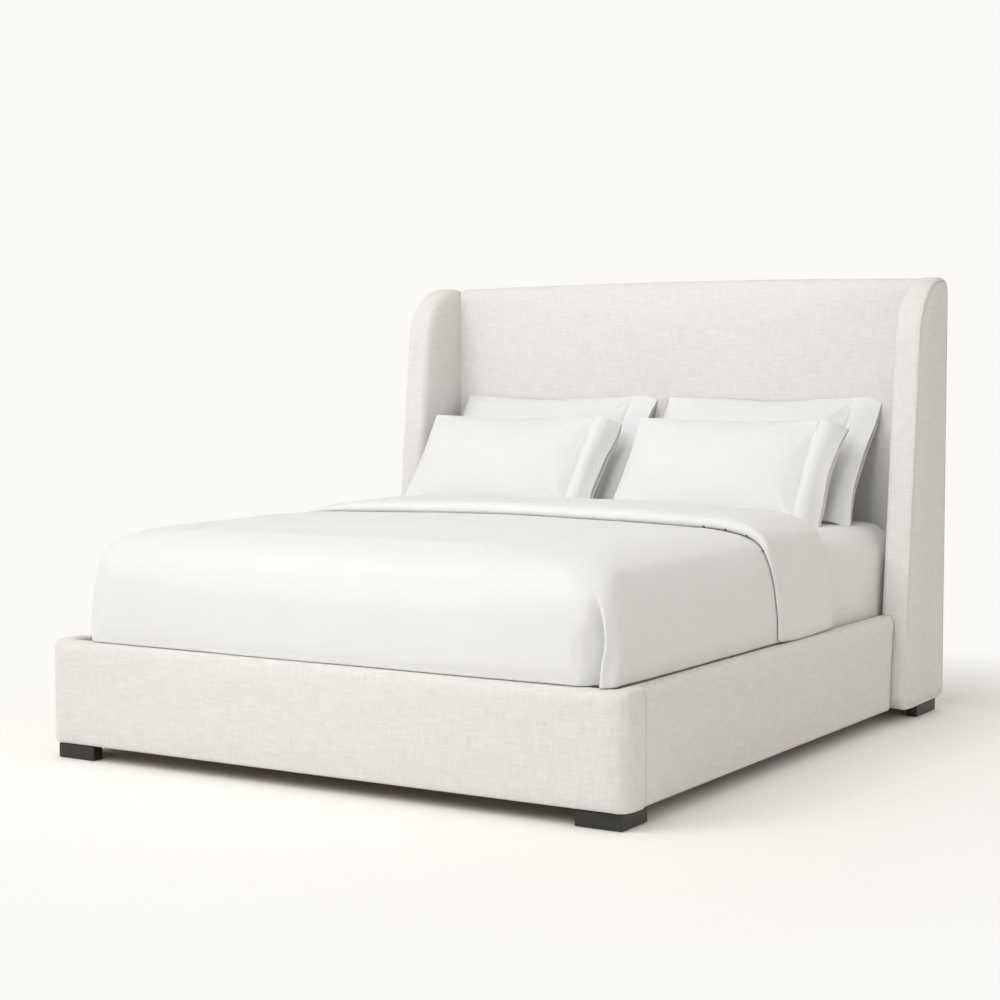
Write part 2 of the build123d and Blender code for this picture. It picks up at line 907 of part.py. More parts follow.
def build_all():
    pieces = {}
    # Feet, their screws and floor pads
    front_screws = foot_screws(front_foot_screw_places(), 0)
    rear_screws = foot_screws(rear_foot_screw_places(), 0)
    front_holes = foot_screws(front_foot_screw_places(), fastener_gap)
    rear_holes = foot_screws(rear_foot_screw_places(), fastener_gap)
    add_sided(pieces, "front_foot", corner_foot(front_foot_sizes(), front_foot_screw_places()))
    add_sided(pieces, "rear_foot", corner_foot(rear_foot_sizes(), rear_foot_screw_places()))
    screws = front_screws + rear_screws
    pieces["foot_screws"] = group(screws + [mirrored(item) for item in screws])
    pads = [floor_pad(front_foot_sizes()), floor_pad(rear_foot_sizes())]
    pieces["floor_pads"] = group(pads + [mirrored(item) for item in pads])

    # Footboard
    bracket_holes = corner_bracket_bolts(fastener_gap)
    foot_hanger_holes = hanger_screws(footboard_inner, 1, fastener_gap)
    corner_holes = bracket_holes + front_holes
    corner_holes += [mirrored(item) for item in corner_holes] + foot_hanger_holes
    outer = footboard_solid(0)
    inner = footboard_solid(cover_thickness)
    board = footboard_board()
    blocks = [corner_block(), mirrored(corner_block())]
    pieces["footboard_cover"] = cut_all(outer - inner, corner_holes)
    pieces["footboard_foam"] = cut_all(inner, [board] + blocks + corner_holes)
    pieces["footboard_board"] = cut_all(board, corner_holes)
    pieces["footboard_corner_blocks"] = group([cut_all(item, corner_holes) for item in blocks])

    # Side rails
    plate_holes = joining_plate_bolts(fastener_gap)
    rail_holes = bracket_holes + plate_holes + ledge_screws(fastener_gap)
    outer = rail_solid(0)
    inner = rail_solid(cover_thickness)
    board = rail_board()
    add_sided(pieces, "rail_cover", cut_all(outer - inner, rail_holes))
    add_sided(pieces, "rail_foam", cut_all(inner, [board] + rail_holes))
    add_sided(pieces, "rail_board", cut_all(board, rail_holes))
    add_sided(pieces, "slat_ledge", cut_all(ledge(), ledge_screws(fastener_gap) + slat_screws(fastener_gap)))
    screws = ledge_screws(0)
    pieces["ledge_screws"] = group(screws + [mirrored(item) for item in screws])

    # Steel plates
    pieces["front_corner_brackets"] = group([corner_bracket(), mirrored(corner_bracket())])
    pieces["rail_joining_plates"] = group([joining_plate(), mirrored(joining_plate())])
    bolts = corner_bracket_bolts(0) + joining_plate_bolts(0)
    pieces["plate_bolts"] = group(bolts + [mirrored(item) for item in bolts])

    # Wings
    wing_holes = wing_bolt_holes() + plate_holes + rear_holes
    outer = wing_solid(0)
    inner = wing_solid(cover_thickness)
    core = wing_core()
    shell = outer - inner
    add_sided(pieces, "wing_cover", cut_all(shell - wing_band_zone(), wing_holes))
    add_sided(pieces, "wing_band", shell & wing_band_zone())
    add_sided(pieces, "wing_foam", cut_all(inner, [core] + wing_holes))
    add_sided(pieces, "wing_core", cut_all(core, wing_holes))
    pieces["wing_bolts"] = group(wing_bolts() + [mirrored(item) for item in wing_bolts()])

    # Headboard between the wings
    head_holes = wing_bolt_holes() + [mirrored(item) for item in wing_bolt_holes()]
    head_holes += hanger_screws(panel_face, -1, fastener_gap)
    pad_back = head_face - back_cloth_thickness - batten_thickness
    inner = headboard_solid(cover_thickness, head_face + overrun)
    pieces["headboard_cover"] = cut_all(headboard_solid(0, head_face) - inner, head_holes)
    pieces["headboard_foam"] = cut_all(headboard_solid(cover_thickness, pad_back), [headboard_panel()] + head_holes)
    pieces["headboard_panel"] = cut_all(headboard_panel(), head_holes)
    pieces["headboard_battens"] = group([cut_all(item, head_holes) for item in headboard_battens().solids()])
    pieces["headboard_back_cloth"] = headboard_back_cloth()

    # Slats and centre support
    pieces["slats"] = slats()
    pieces["slat_straps"] = slat_straps()
    pieces["slat_screws"] = group(slat_screws(0))
    pieces["centre_beam"] = centre_beam()
    pieces["beam_hangers"] = group([beam_hanger(footboard_inner, 1), beam_hanger(panel_face, -1)])
    pieces["hanger_screws"] = group(hanger_screws(footboard_inner, 1, 0) + hanger_screws(panel_face, -1, 0))
    pieces["centre_legs"] = group([centre_leg(y) for y in leg_places()])
    for name, y in zip(("foot", "middle", "head"), leg_places()):
        pieces["levelling_glide_" + name] = levelling_glide(y)

    # Mattress and bedding
    low = mattress_base + ticking_thickness
    high = mattress_top - ticking_thickness
    inside = mattress_solid(-ticking_thickness, low)
    pieces["mattress_ticking"] = mattress_solid(0, mattress_base) - inside
    pieces["mattress_base_layer"] = mattress_layer(low, low + base_comfort_layer)
    pieces["mattress_springs"] = mattress_layer(low + base_comfort_layer, high - top_comfort_layer)
    pieces["mattress_comfort_layer"] = mattress_layer(high - top_comfort_layer, high)
    pieces["fitted_sheet"] = fitted_sheet()
    pieces["duvet"] = duvet()
    for row, sizes, places in pillow_rows():
        case = pillow_case(*sizes)
        filling = pillow_body(*sizes, case_thickness + lift_gap)
        for side, place in places.items():
            pieces["pillow_case_" + row + "_" + side] = place * case
            pieces["pillow_filling_" + row + "_" + side] = place * filling
    return pieces


os.makedirs("parts", exist_ok=True)
for name, shape in build_all().items():
    export_step(shape, "parts/" + name + ".step")
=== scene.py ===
import math
import bmesh
import bpy
import numpy as np
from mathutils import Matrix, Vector, noise


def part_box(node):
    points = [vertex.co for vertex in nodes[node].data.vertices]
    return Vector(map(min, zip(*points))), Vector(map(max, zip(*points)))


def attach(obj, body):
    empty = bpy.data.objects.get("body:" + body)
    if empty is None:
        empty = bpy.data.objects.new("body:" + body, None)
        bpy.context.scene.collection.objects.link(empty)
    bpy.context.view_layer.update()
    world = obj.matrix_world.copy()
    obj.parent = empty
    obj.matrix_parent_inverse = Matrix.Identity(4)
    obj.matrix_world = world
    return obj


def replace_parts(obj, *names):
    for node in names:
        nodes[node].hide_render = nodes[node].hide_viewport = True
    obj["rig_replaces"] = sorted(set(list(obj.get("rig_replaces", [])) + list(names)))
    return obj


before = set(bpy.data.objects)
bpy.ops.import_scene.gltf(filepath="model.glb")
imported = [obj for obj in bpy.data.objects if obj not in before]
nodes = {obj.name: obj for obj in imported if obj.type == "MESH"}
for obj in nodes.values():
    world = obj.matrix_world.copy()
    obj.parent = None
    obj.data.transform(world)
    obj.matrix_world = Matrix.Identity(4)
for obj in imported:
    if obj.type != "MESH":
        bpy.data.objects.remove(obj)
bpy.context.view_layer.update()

# Sizes of the frame, in metres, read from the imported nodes
rail_low, rail_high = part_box("right_rail_cover")
inner_side = rail_low.x
outer_side = rail_high.x
rail_base = rail_low.z
rail_top = rail_high.z
return_end = rail_low.y
foot_low, foot_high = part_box("footboard_cover")
foot_face = foot_low.y
pad_thickness = outer_side - inner_side
footboard_inner = foot_face + pad_thickness
wing_low, wing_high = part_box("right_wing_cover")
wing_outer = wing_high.x
wing_top = wing_high.z
head_low, head_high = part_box("headboard_cover")
panel_face = head_low.y
head_face = wing_high.y
sheet_low, sheet_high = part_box("fitted_sheet")
duvet_low, duvet_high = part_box("duvet")

# Padding of the frame
wing_lean = math.radians(5.8)
wing_reach = 0.3725
wing_reach_height = 0.41
wing_rounds = (0.055, 0.030, 0.052, 0.215)
pad_corner_round = 0.028
inner_corner_round = 0.012
pad_top_round = 0.022
pad_base_round = 0.008
end_round = 0.007
headboard_round = 0.028
headboard_crown = 0.010
seam_depth = 0.006
wing_inner_roll = 0.026
wing_outer_roll = 0.018
wing_seam_turn = 1.2
wing_cells = (28, 104)
rail_cells = (5, 24)
rail_cell = 0.0135
firm_pressure = 2.0
soft_pressure = 1.5
rail_reach = 0.004
headboard_reach = 0.005
headboard_cells = (124, 96)
headboard_cell = 0.012
smallest_round = 0.002

# Weave, stitches and small pieces that repeat
thread_pitch = 0.0031
stitch_pitch = 0.0075
stitch_length = 0.0052
stitch_radius = 0.0006
stitch_from_seam = 0.0075
button_pitch = 0.072
staple_pitch = 0.045
button_start = 0.656
button_end = 0.905
slat_count = 15
slat_width = 0.07
strap_width = 0.025
strap_sag = 0.0012
strap_gap = 0.0001
button_radius = 0.0048
button_depth = 0.0018
staple_size = (0.0105, 0.0008, 0.0011)

# Bedding
pillow_half_heights = {"back": 0.2575, "front": 0.215}
pillow_dips = {"back": 0.014, "front": 0.006}
pillow_leans = {"back": 36, "front": 37}
pillow_lofts = {"back": 0.166, "front": 0.151}
pillow_case_over_filling = 0.0023
pillow_reach = 0.008
pillow_cells = (60, 42)
pillow_crown_power = 2.4
pillow_fullness = 0.55
pillow_seam_round = 0.017
pillow_end_draw = 0.015
pillow_side_draw = 0.013
cuff_length = 0.1
cuff_end_draw = 0.008
cuff_hollow = 0.015
cuff_bends = {"back": 0.3, "front": 0.85}
cloth_thickness = 0.0012
pillow_pressure = 3.0
sheet_room = 0.0068
sheet_corner_round = 0.13
sheet_base_round = 0.026
sheet_top_round = 0.122
sheet_hem = ((0.16, 0.0004), (0.11, 0.0002), (0.06, 0.0001))
sheet_cells = (104, 120)
mattress_rise = 0.0025
mattress_round_loss = 0.002
mattress_cells = (60, 72)


def smooth(share):
    """Runs from 0 to 1 with level ends."""
    share = np.clip(share, 0, 1)
    return share * share * (3 - 2 * share)


def inset_corners(corners, inset, radius_loss=None):
    """The same corners (a, b, radius), anticlockwise, after every side has moved inwards by its inset."""
    insets = inset if hasattr(inset, "__len__") else [inset] * len(corners)
    loss = max(insets) if radius_loss is None else radius_loss
    points = [np.array(corner[:2], float) for corner in corners]
    lines = []
    for index, point in enumerate(points):
        along = points[(index + 1) % len(points)] - point
        along /= np.linalg.norm(along)
        inwards = np.array([-along[1], along[0]])
        lines.append((point + inwards * insets[index], along))
    moved = []
    for index, (start, along) in enumerate(lines):
        before, came = lines[index - 1]
        gap = start - before
        reach = (gap[0] * along[1] - gap[1] * along[0]) / (came[0] * along[1] - came[1] * along[0])
        point = before + came * reach
        moved.append((point[0], point[1], max(corners[index][2] - loss, smallest_round)))
    return moved


def resample(line, cells, bunch):
    """Points along a line of points, with the last one left off; bunch from 0 to 1 draws them to its ends."""
    steps = np.linalg.norm(np.diff(line, axis=0), axis=1)
    along = np.concatenate([[0], np.cumsum(steps)])
    share = np.linspace(0, 1, cells + 1)[:-1]
    wanted = along[-1] * (share - bunch * np.sin(2 * math.pi * share) / (2 * math.pi))
    return np.stack([np.interp(wanted, along, line[:, axis]) for axis in range(line.shape[1])], 1)


def rounded_ring(corners, cells, bunch=0.0):
    """Ring of points through four rounded corners; each side runs from the middle of one corner's arc."""
    halves = []
    for index, (a, b, radius) in enumerate(corners):
        here = np.array([a, b])
        before = np.array(corners[index - 1][:2]) - here
        after = np.array(corners[(index + 1) % 4][:2]) - here
        before /= np.linalg.norm(before)
        after /= np.linalg.norm(after)
        half = math.acos(np.clip(before @ after, -1, 1)) / 2
        centre = here + (before + after) / np.linalg.norm(before + after) * radius / math.sin(half)
        start = here + before * radius / math.tan(half)
        end = here + after * radius / math.tan(half)
        turn = np.linspace(0, 1, 17)[:, None]
        chord = start * (1 - turn) + end * turn - centre
        arc = centre + chord / np.linalg.norm(chord, axis=1)[:, None] * radius
        halves.append((arc[:9], arc[8:]))
    sides = []
    for index in range(4):
        line = np.concatenate([halves[index][1], halves[(index + 1) % 4][0]])
        sides.append(resample(line, cells[index % 2], bunch))
    return np.concatenate(sides)


def patch(ring, cells):
    """Grid of points that fills a ring, by blending its four sides."""
    across, up = cells
    closed = np.concatenate([ring, ring[:1]])
    low = closed[:across + 1]
    right = closed[across:across + up + 1]
    high = closed[across + up:2 * across + up + 1][::-1]
    left = closed[2 * across + up:][::-1]
    s = np.linspace(0, 1, across + 1)[:, None, None]
    t = np.linspace(0, 1, up + 1)[None, :, None]
    ruled = low[:, None] * (1 - t) + high[:, None] * t + left[None] * (1 - s) + right[None] * s
    corners = (low[0] * (1 - s) * (1 - t) + low[-1] * s * (1 - t)
               + high[0] * (1 - s) * t + high[-1] * s * t)
    return ruled - corners


def inset_rows(corners, rows):
    """Rows for a pad whose outline is only drawn in from row to row."""
    return [(inset_corners(corners, inset), depth) for inset, depth in rows]


def edge_rows(thickness, first_round, last_round, cell):
    """Inset and depth of the rows across a pad, from one rounded face to the other."""
    rows = []
    for turn in np.linspace(0, math.pi / 2, 5):
        rows.append((first_round * (1 - math.sin(turn)), first_round * (1 - math.cos(turn))))
    straight = thickness - first_round - last_round
    count = max(1, round(straight / cell))
    for step in range(1, count):
        rows.append((0.0, first_round + straight * step / count))
    for turn in np.linspace(math.pi / 2, 0, 5):
        rows.append((last_round * (1 - math.sin(turn)), thickness - last_round * (1 - math.cos(turn))))
    return rows


def mesh_piece(name, points, faces, uvs):
    """Object from points, faces and one texture place for each face corner."""
    mesh = bpy.data.meshes.new(name)
    mesh.from_pydata([tuple(point) for point in points], [], faces)
    layer = mesh.uv_layers.new(name="weave")
    layer.data.foreach_set("uv", np.asarray(uvs, np.float32).ravel())
    mesh.validate()
    piece = bpy.data.objects.new(name, mesh)
    bpy.context.scene.collection.objects.link(piece)
    return piece


ring_square = ((0, 0), (0, 1), (1, 1), (1, 0))
face_square = ((0, 0), (1, 0), (1, 1), (0, 1))


def grid_faces(names, places, order=ring_square):
    """Squares of a grid of point numbers, and the texture places of their corners.

    order has the steps to a square's four corners, one after the other."""
    faces = []
    uvs = []
    for i in range(names.shape[0] - 1):
        for j in range(names.shape[1] - 1):
            square = [(i + step, j + side) for step, side in order]
            faces.append(tuple(int(names[at]) for at in square))
            uvs += [tuple(places[at]) for at in square]
    return faces, uvs


def grid_places(along, across):
    """Texture places of a grid: along runs over its rows and across over its columns."""
    return np.stack(np.meshgrid(along, across, indexing="ij"), -1)


def pad(name, rows, cells, place, swell=(0, 0), bunch=0.0, faced=(True, True)):
    """Padded form: rings across its thickness, and a patch over each face that is wanted.

    Each row is (corners of its ring, depth). place turns (a, b, depth) into a point, and swell lifts
    the middle of the two faces."""
    across, up = cells
    ring_size = 2 * (across + up)
    points = []
    ring_lengths = []
    for corners, depth in rows:
        ring = rounded_ring(corners, cells, bunch)
        points.append(place(ring[:, 0], ring[:, 1], np.full(ring_size, depth)))
        steps = np.linalg.norm(np.diff(np.concatenate([ring, ring[:1]]), axis=0), axis=1)
        ring_lengths.append(np.concatenate([[0], np.cumsum(steps)]))
    lengths = ring_lengths[len(rows) // 2]
    levels = np.concatenate([[0], np.cumsum([
        np.linalg.norm(high - low, axis=1).mean() for low, high in zip(points, points[1:])
    ])])
    total = ring_size * len(rows)
    names = np.arange(total).reshape(len(rows), ring_size)
    names = np.concatenate([names, names[:, :1]], 1)
    faces, uvs = grid_faces(names, grid_places(levels, lengths)[..., ::-1])
    for end, order in ((0, face_square[::-1]), (-1, face_square)):
        if not faced[end]:
            continue
        corners, depth = rows[end]
        ring = rounded_ring(corners, cells, bunch)
        grid = patch(ring, cells)
        s = np.linspace(-1, 1, across + 1)[:, None]
        t = np.linspace(-1, 1, up + 1)[None]
        rise = (1 - s ** 4) * (1 - t ** 4) * swell[end]
        inside = place(grid[..., 0].ravel(), grid[..., 1].ravel(),
                       (np.full(grid.shape[:2], depth) + (rise if end else -rise)).ravel())
        names = np.full((across + 1, up + 1), -1)
        base = ring_size * (len(rows) - 1) if end else 0
        rim = [(i, 0) for i in range(across)] + [(across, j) for j in range(up)]
        rim += [(i, up) for i in range(across, 0, -1)] + [(0, j) for j in range(up, 0, -1)]
        for step, at in enumerate(rim):
            names[at] = base + step
        free = np.argwhere(names < 0)
        for count, (i, j) in enumerate(free):
            names[i, j] = total + count
        points.append(inside.reshape(across + 1, up + 1, 3)[free[:, 0], free[:, 1]])
        total += len(free)
        more_faces, more_uvs = grid_faces(names, grid, order)
        faces += more_faces
        uvs += more_uvs
    piece = mesh_piece(name, np.concatenate(points), faces, uvs)
    face_outwards(piece)
    return piece


def face_outwards(piece):
    shape = bmesh.new()
    shape.from_mesh(piece.data)
    bmesh.ops.recalc_face_normals(shape, faces=shape.faces)
    shape.to_mesh(piece.data)
    shape.free()


def coordinates(piece, kind="co"):
    """Coordinates of a piece's points, or with kind "normal" their outward directions."""
    found = np.empty(len(piece.data.vertices) * 3, np.float32)
    piece.data.vertices.foreach_get(kind, found)
    return found.reshape(-1, 3).astype(float)


def move_points(piece, points):
    piece.data.vertices.foreach_set("co", points.astype(np.float32).ravel())
    piece.data.update()


def puff(piece, held, pressure, reach, frames=16):
    """Fills a padded piece by cloth simulation; held points stay, and none moves further than reach."""
    scene = bpy.context.scene
    before = coordinates(piece)
    group = piece.vertex_groups.new(name="held")
    group.add([int(index) for index in np.flatnonzero(held)], 1.0, "REPLACE")
    cloth = piece.modifiers.new("filling", "CLOTH")
    settings = cloth.settings
    settings.quality = 4
    settings.mass = 0.4
    settings.use_pressure = True
    settings.uniform_pressure_force = pressure
    settings.vertex_group_mass = "held"
    settings.effector_weights.gravity = 0
    cloth.point_cache.frame_start = 1
    cloth.point_cache.frame_end = frames
    for number in range(1, frames + 1):
        scene.frame_set(number)
    ready = piece.evaluated_get(bpy.context.evaluated_depsgraph_get())
    moved = coordinates(ready) - before
    piece.modifiers.remove(cloth)
    piece.vertex_groups.remove(group)
    scene.frame_set(1)
    far = np.maximum(np.linalg.norm(moved, axis=1), 1e-9)
    moved *= (reach * np.tanh(far / reach) / far)[:, None]
    move_points(piece, before + moved)


def apply_modifiers(piece):
    bpy.ops.object.select_all(action="DESELECT")
    bpy.context.view_layer.objects.active = piece
    piece.select_set(True)
    for modifier in list(piece.modifiers):
        bpy.ops.object.modifier_apply(modifier=modifier.name)
    shade_smooth(piece)
    piece.select_set(False)


def shade_smooth(piece):
    for polygon in piece.data.polygons:
        polygon.use_smooth = True


def refine(piece):
    """Subdivides a piece smoothly."""
    finer = piece.modifiers.new("finer", "SUBSURF")
    finer.levels = 1
    finer.render_levels = 1
    apply_modifiers(piece)


def add_thickness(piece, thickness, offset):
    """Gives an open surface the thickness of its cloth."""
    shell = piece.modifiers.new("cloth", "SOLIDIFY")
    shell.thickness = thickness
    shell.offset = offset
    apply_modifiers(piece)


def waves(points, size, seed):
    """Smooth random height at each point, about -1 to 1."""
    shift = Vector((seed * 7.3, seed * 3.1, seed * 5.7))
    return np.array([noise.noise(Vector(point) / size + shift) for point in points])


def mirror_copy(piece, name):
    """The same piece on the other side of the bed."""
    copy = piece.copy()
    copy.data = piece.data.copy()
    copy.name = name
    bpy.context.scene.collection.objects.link(copy)
    points = coordinates(copy)
    points[:, 0] *= -1
    move_points(copy, points)
    copy.data.flip_normals()
    return copy


# Footboard and rails

def footboard_places():
    """Runs of the footboard's outer and inner outline: start, end and the centre of an arc."""
    front = foot_face + pad_corner_round
    side = outer_side - pad_corner_round
    back = footboard_inner + inner_corner_round
    inner = inner_side - inner_corner_round
    outer_runs = [
        ((-outer_side, return_end), (-outer_side, front), None),
        ((-outer_side, front), (-side, foot_face), (-side, front)),
        ((-side, foot_face), (side, foot_face), None),
        ((side, foot_face), (outer_side, front), (side, front)),
        ((outer_side, front), (outer_side, return_end), None),
    ]
    inner_runs = [
        ((-inner_side, return_end), (-inner_side, back), None),
        ((-inner_side, back), (-inner, footboard_inner), (-inner, back)),
        ((-inner, footboard_inner), (inner, footboard_inner), None),
        ((inner, footboard_inner), (inner_side, back), (inner, back)),
        ((inner_side, back), (inner_side, return_end), None),
    ]
    return outer_runs, inner_runs


def along_run(run, share):
    start, end, centre = (None if item is None else np.array(item) for item in run)
    point = start * (1 - share)[:, None] + end * share[:, None]
    if centre is None:
        return point
    radius = np.linalg.norm(start - centre)
    arm = point - centre
    return centre + arm / np.linalg.norm(arm, axis=1)[:, None] * radius


def footboard_pad():
    outer_runs, inner_runs = footboard_places()
    arc = pad_corner_round * math.pi / 2
    lengths = []
    for start, end, centre in outer_runs:
        lengths.append(arc if centre else math.dist(start, end))
    ends = np.concatenate([[0], np.cumsum(lengths)])

    def place(a, b, depth):
        found = np.zeros((len(a), 3))
        for index in range(len(outer_runs)):
            here = (depth >= ends[index] - 1e-9) & (depth <= ends[index + 1] + 1e-9)
            share = (depth[here] - ends[index]) / lengths[index]
            outer = along_run(outer_runs[index], share)
            inner = along_run(inner_runs[index], share)
            inwards = (a[here] / pad_thickness)[:, None]
            found[here, :2] = outer * (1 - inwards) + inner * inwards
            found[here, 2] = b[here]
        return found

    corners = [
        (0, rail_base, pad_base_round), (pad_thickness, rail_base, pad_base_round),
        (pad_thickness, rail_top, pad_top_round * 0.6), (0, rail_top, pad_top_round),
    ]
    rows = inset_rows(corners, edge_rows(ends[-1], end_round, end_round, rail_cell))
    piece = pad("footboard_pad", rows, rail_cells, place)
    points = coordinates(piece)
    held = points[:, 1] > footboard_inner - 0.006
    puff(piece, held, firm_pressure, rail_reach)
    refine(piece)
    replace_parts(piece, "footboard_cover", "footboard_foam")
    return piece


def wing_front_line(z):
    return head_face - wing_reach + (z - wing_reach_height) * math.tan(wing_lean)


def rail_pad():
    corners = [
        (inner_side, rail_base, pad_base_round), (outer_side, rail_base, pad_base_round),
        (outer_side, rail_top, pad_top_round), (inner_side, rail_top, pad_base_round),
    ]
    length = wing_front_line(rail_top) - return_end

    def place(a, b, depth):
        end = wing_front_line(b)
        y = return_end + depth / length * (end - return_end)
        return np.stack([a, y, b], 1)

    rows = inset_rows(corners, edge_rows(length, end_round, end_round, rail_cell))
    piece = pad("right_rail_pad", rows, rail_cells, place)
    held = coordinates(piece)[:, 0] < inner_side + 0.006
    puff(piece, held, firm_pressure, rail_reach)
    refine(piece)
    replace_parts(piece, "right_rail_cover", "right_rail_foam")
    return piece


# Headboard and wings

def headboard_pad():
    side = inner_side
    corners = [
        (-side, head_low.z, pad_base_round), (side, head_low.z, pad_base_round),
        (side, wing_top, end_round), (-side, wing_top, end_round),
    ]
    thickness = head_face - 1.5 * cloth_thickness - panel_face

    def place(a, b, depth):
        height = (b - head_low.z) / (wing_top - head_low.z)
        z = b + headboard_crown * (1 - (a / side) ** 2) * height
        top = wing_top + headboard_crown * (1 - (a / side) ** 2)
        dy = headboard_round - depth
        dz = headboard_round - (top - z)
        near = (dy > 0) & (dz > 0)
        size = np.hypot(dy, dz)
        scale = np.where(near, np.maximum(dy, dz) / np.maximum(size, 1e-9), 1)
        y = np.where(near, panel_face + headboard_round - dy * scale, panel_face + depth)
        z = np.where(near, top - headboard_round + dz * scale, z)
        return np.stack([a, y, z], 1)

    rows = inset_rows(corners, edge_rows(thickness, end_round, end_round / 2, headboard_cell))
    piece = pad("headboard_pad", rows, headboard_cells, place, swell=(0.004, 0))
    points = coordinates(piece)
    held = (points[:, 1] > panel_face + 0.03) | (np.abs(points[:, 0]) > side - 0.004)
    puff(piece, held, soft_pressure, headboard_reach)
    refine(piece)
    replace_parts(piece, "headboard_cover", "headboard_foam")
    return piece


def wing_corners():
    low = wing_low.z
    return [
        (wing_front_line(low), low, wing_rounds[0]),
        (head_face, low, wing_rounds[1]),
        (head_face, wing_top, wing_rounds[2]),
        (wing_front_line(wing_top), wing_top, wing_rounds[3]),
    ]


def wing_rows():
    """Rows across a wing: inner panel, rolled front band, and a seam where the band meets the outer panel."""
    thickness = wing_outer - inner_side
    rows = []
    for turn in np.linspace(0, math.pi / 2, 8)[:-1]:
        rows.append((wing_inner_roll * (1 - math.sin(turn)), wing_inner_roll * (1 - math.cos(turn))))
    flat = thickness - wing_outer_roll - wing_inner_roll
    for share in np.linspace(0, 1, 5)[:-1]:
        rows.append((0.0, wing_inner_roll + flat * share))
    for turn in np.linspace(0, wing_seam_turn, 7):
        depth = thickness - wing_outer_roll * (1 - math.sin(turn))
        rows.append((wing_outer_roll * (1 - math.cos(turn)), depth))
    seam = rows[-1][0] + 0.0018
    rows.append((seam, thickness - seam_depth))
    rows.append((seam + 0.0012, thickness - seam_depth))
    rows.append((seam + 0.0030, thickness - 0.0008))
    rows.append((seam + 0.0080, thickness))
    return rows


def wing_pad():
    def place(a, b, depth):
        return np.stack([inner_side + depth, a, b], 1)

    rows = wing_rows()
    piece = pad("right_wing_pad", inset_rows(wing_corners(), rows), wing_cells, place, swell=(0.003, 0.004))
    ring_size = 2 * sum(wing_cells)
    held = np.zeros(len(piece.data.vertices), bool)
    seam = wing_outer - inner_side - seam_depth
    for index, (inset, depth) in enumerate(rows):
        if abs(depth - seam) < smallest_round / 2:
            held[index * ring_size:(index + 1) * ring_size] = True
    held |= coordinates(piece)[:, 1] > head_face - 0.004
    puff(piece, held, firm_pressure, headboard_reach)
    refine(piece)
    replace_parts(piece, "right_wing_cover", "right_wing_foam", "right_wing_band")
    return piece


# Mattress and sheet

def bed_corners(outset, radius):
    side = sheet_high.x + outset
    foot = sheet_low.y - outset
    head = sheet_high.y + outset
    return [(-side, foot, radius), (side, foot, radius), (side, head, radius), (-side, head, radius)]


def mattress():
    def place(a, b, depth):
        return np.stack([a, b, sheet_low.z + mattress_rise + depth], 1)

    thickness = sheet_high.z - sheet_low.z - mattress_rise - sheet_room
    base_round = sheet_base_round - mattress_round_loss
    top_round = sheet_top_round - mattress_round_loss
    corners = bed_corners(-sheet_room, sheet_corner_round - mattress_round_loss)
    rows = inset_rows(corners, edge_rows(thickness, base_round, top_round, 0.02))
    piece = pad("mattress", rows, mattress_cells, place)
    refine(piece)
    layers = ("mattress_comfort_layer", "mattress_base_layer", "mattress_springs")
    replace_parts(piece, "mattress_ticking", *layers)
    return piece


def fitted_sheet():
    """Sheet over the mattress; its hem is tucked under all round."""
    rows = list(sheet_hem)
    rows += edge_rows(sheet_high.z - sheet_low.z, sheet_base_round, sheet_top_round, 0.014)

    def place(a, b, depth):
        return np.stack([a, b, sheet_low.z + depth], 1)

    rows = inset_rows(bed_corners(0.0, sheet_corner_round), rows)
    piece = pad("fitted_sheet_cloth", rows, sheet_cells, place, faced=(False, True))
    points = coordinates(piece)
    out = coordinates(piece, "normal")
    drop = sheet_high.z - points[:, 2]
    side = smooth((drop - 0.05) / 0.1)
    ripple = waves(points * [1, 1, 0.25], 0.05, 3) * 0.0016 + waves(points, 0.16, 4) * 0.002
    top = waves(points * [0.5, 1, 1], 0.12, 5) * 0.0011
    move_points(piece, points + out * ((ripple - 0.001) * side + (top - 0.0006) * (1 - side))[:, None])
    add_thickness(piece, cloth_thickness, -1)
    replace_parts(piece, "fitted_sheet")
    return piece


# Duvet

duvet_top = 0.706
duvet_side = 0.939
duvet_hem = 0.366
duvet_fold = 0.33
duvet_edge = -0.10
fold_round = 0.03
turnback_loft = 0.036
shoulder_loft = 0.013
duvet_seam_from_edge = 0.035
duvet_cells = (150, 84)
duvet_line_cells = 190
duvet_reach = 0.006
duvet_end_reach = 0.005
duvet_frames = 12
drops = (
    0.3438, 0.341, 0.332, 0.318, 0.300, 0.272, 0.240, 0.200, 0.160,
    0.118, 0.095, 0.075, 0.057, 0.042, 0.030, 0.020, 0.012,
)
side_insets = (
    0.002, 0.0, 0.0, 0.0, 0.0, 0.0, 0.003, 0.009, 0.016,
    0.026, 0.036, 0.047, 0.059, 0.082, 0.115, 0.160, 0.230,
)
foot_insets = (
    0.001, 0.0, 0.0, 0.0, 0.0, 0.0, 0.0, 0.0, 0.001,
    0.005, 0.011, 0.020, 0.034, 0.056, 0.084, 0.118, 0.168,
)
foot_hem_sink = 0.004
foot_pull = 0.043
left_foot_pull = 0.1
foot_pull_run = 0.42
foot_pull_run_at_hem = 0.13
foot_pull_places = (0, 0.01, 0.03, 0.06, 0.11, 0.18, 0.27, 0.4)
foot_pull_shares = (1, 0.76, 0.55, 0.36, 0.2, 0.1, 0.04, 0)
left_pull_shares = (1, 0.97, 0.93, 0.84, 0.64, 0.38, 0.13, 0)
pleat_edge = ((0.354, 0.892), (0.432, 0.895), (0.489, 0.901), (0.548, 0.892), (0.607, 0.867))
broad_height = 0.0045
middle_height = 0.0026
fine_height = 0.0009
pleat_width = 0.062
pleat_depth = 0.058
pleat_roll = 0.010


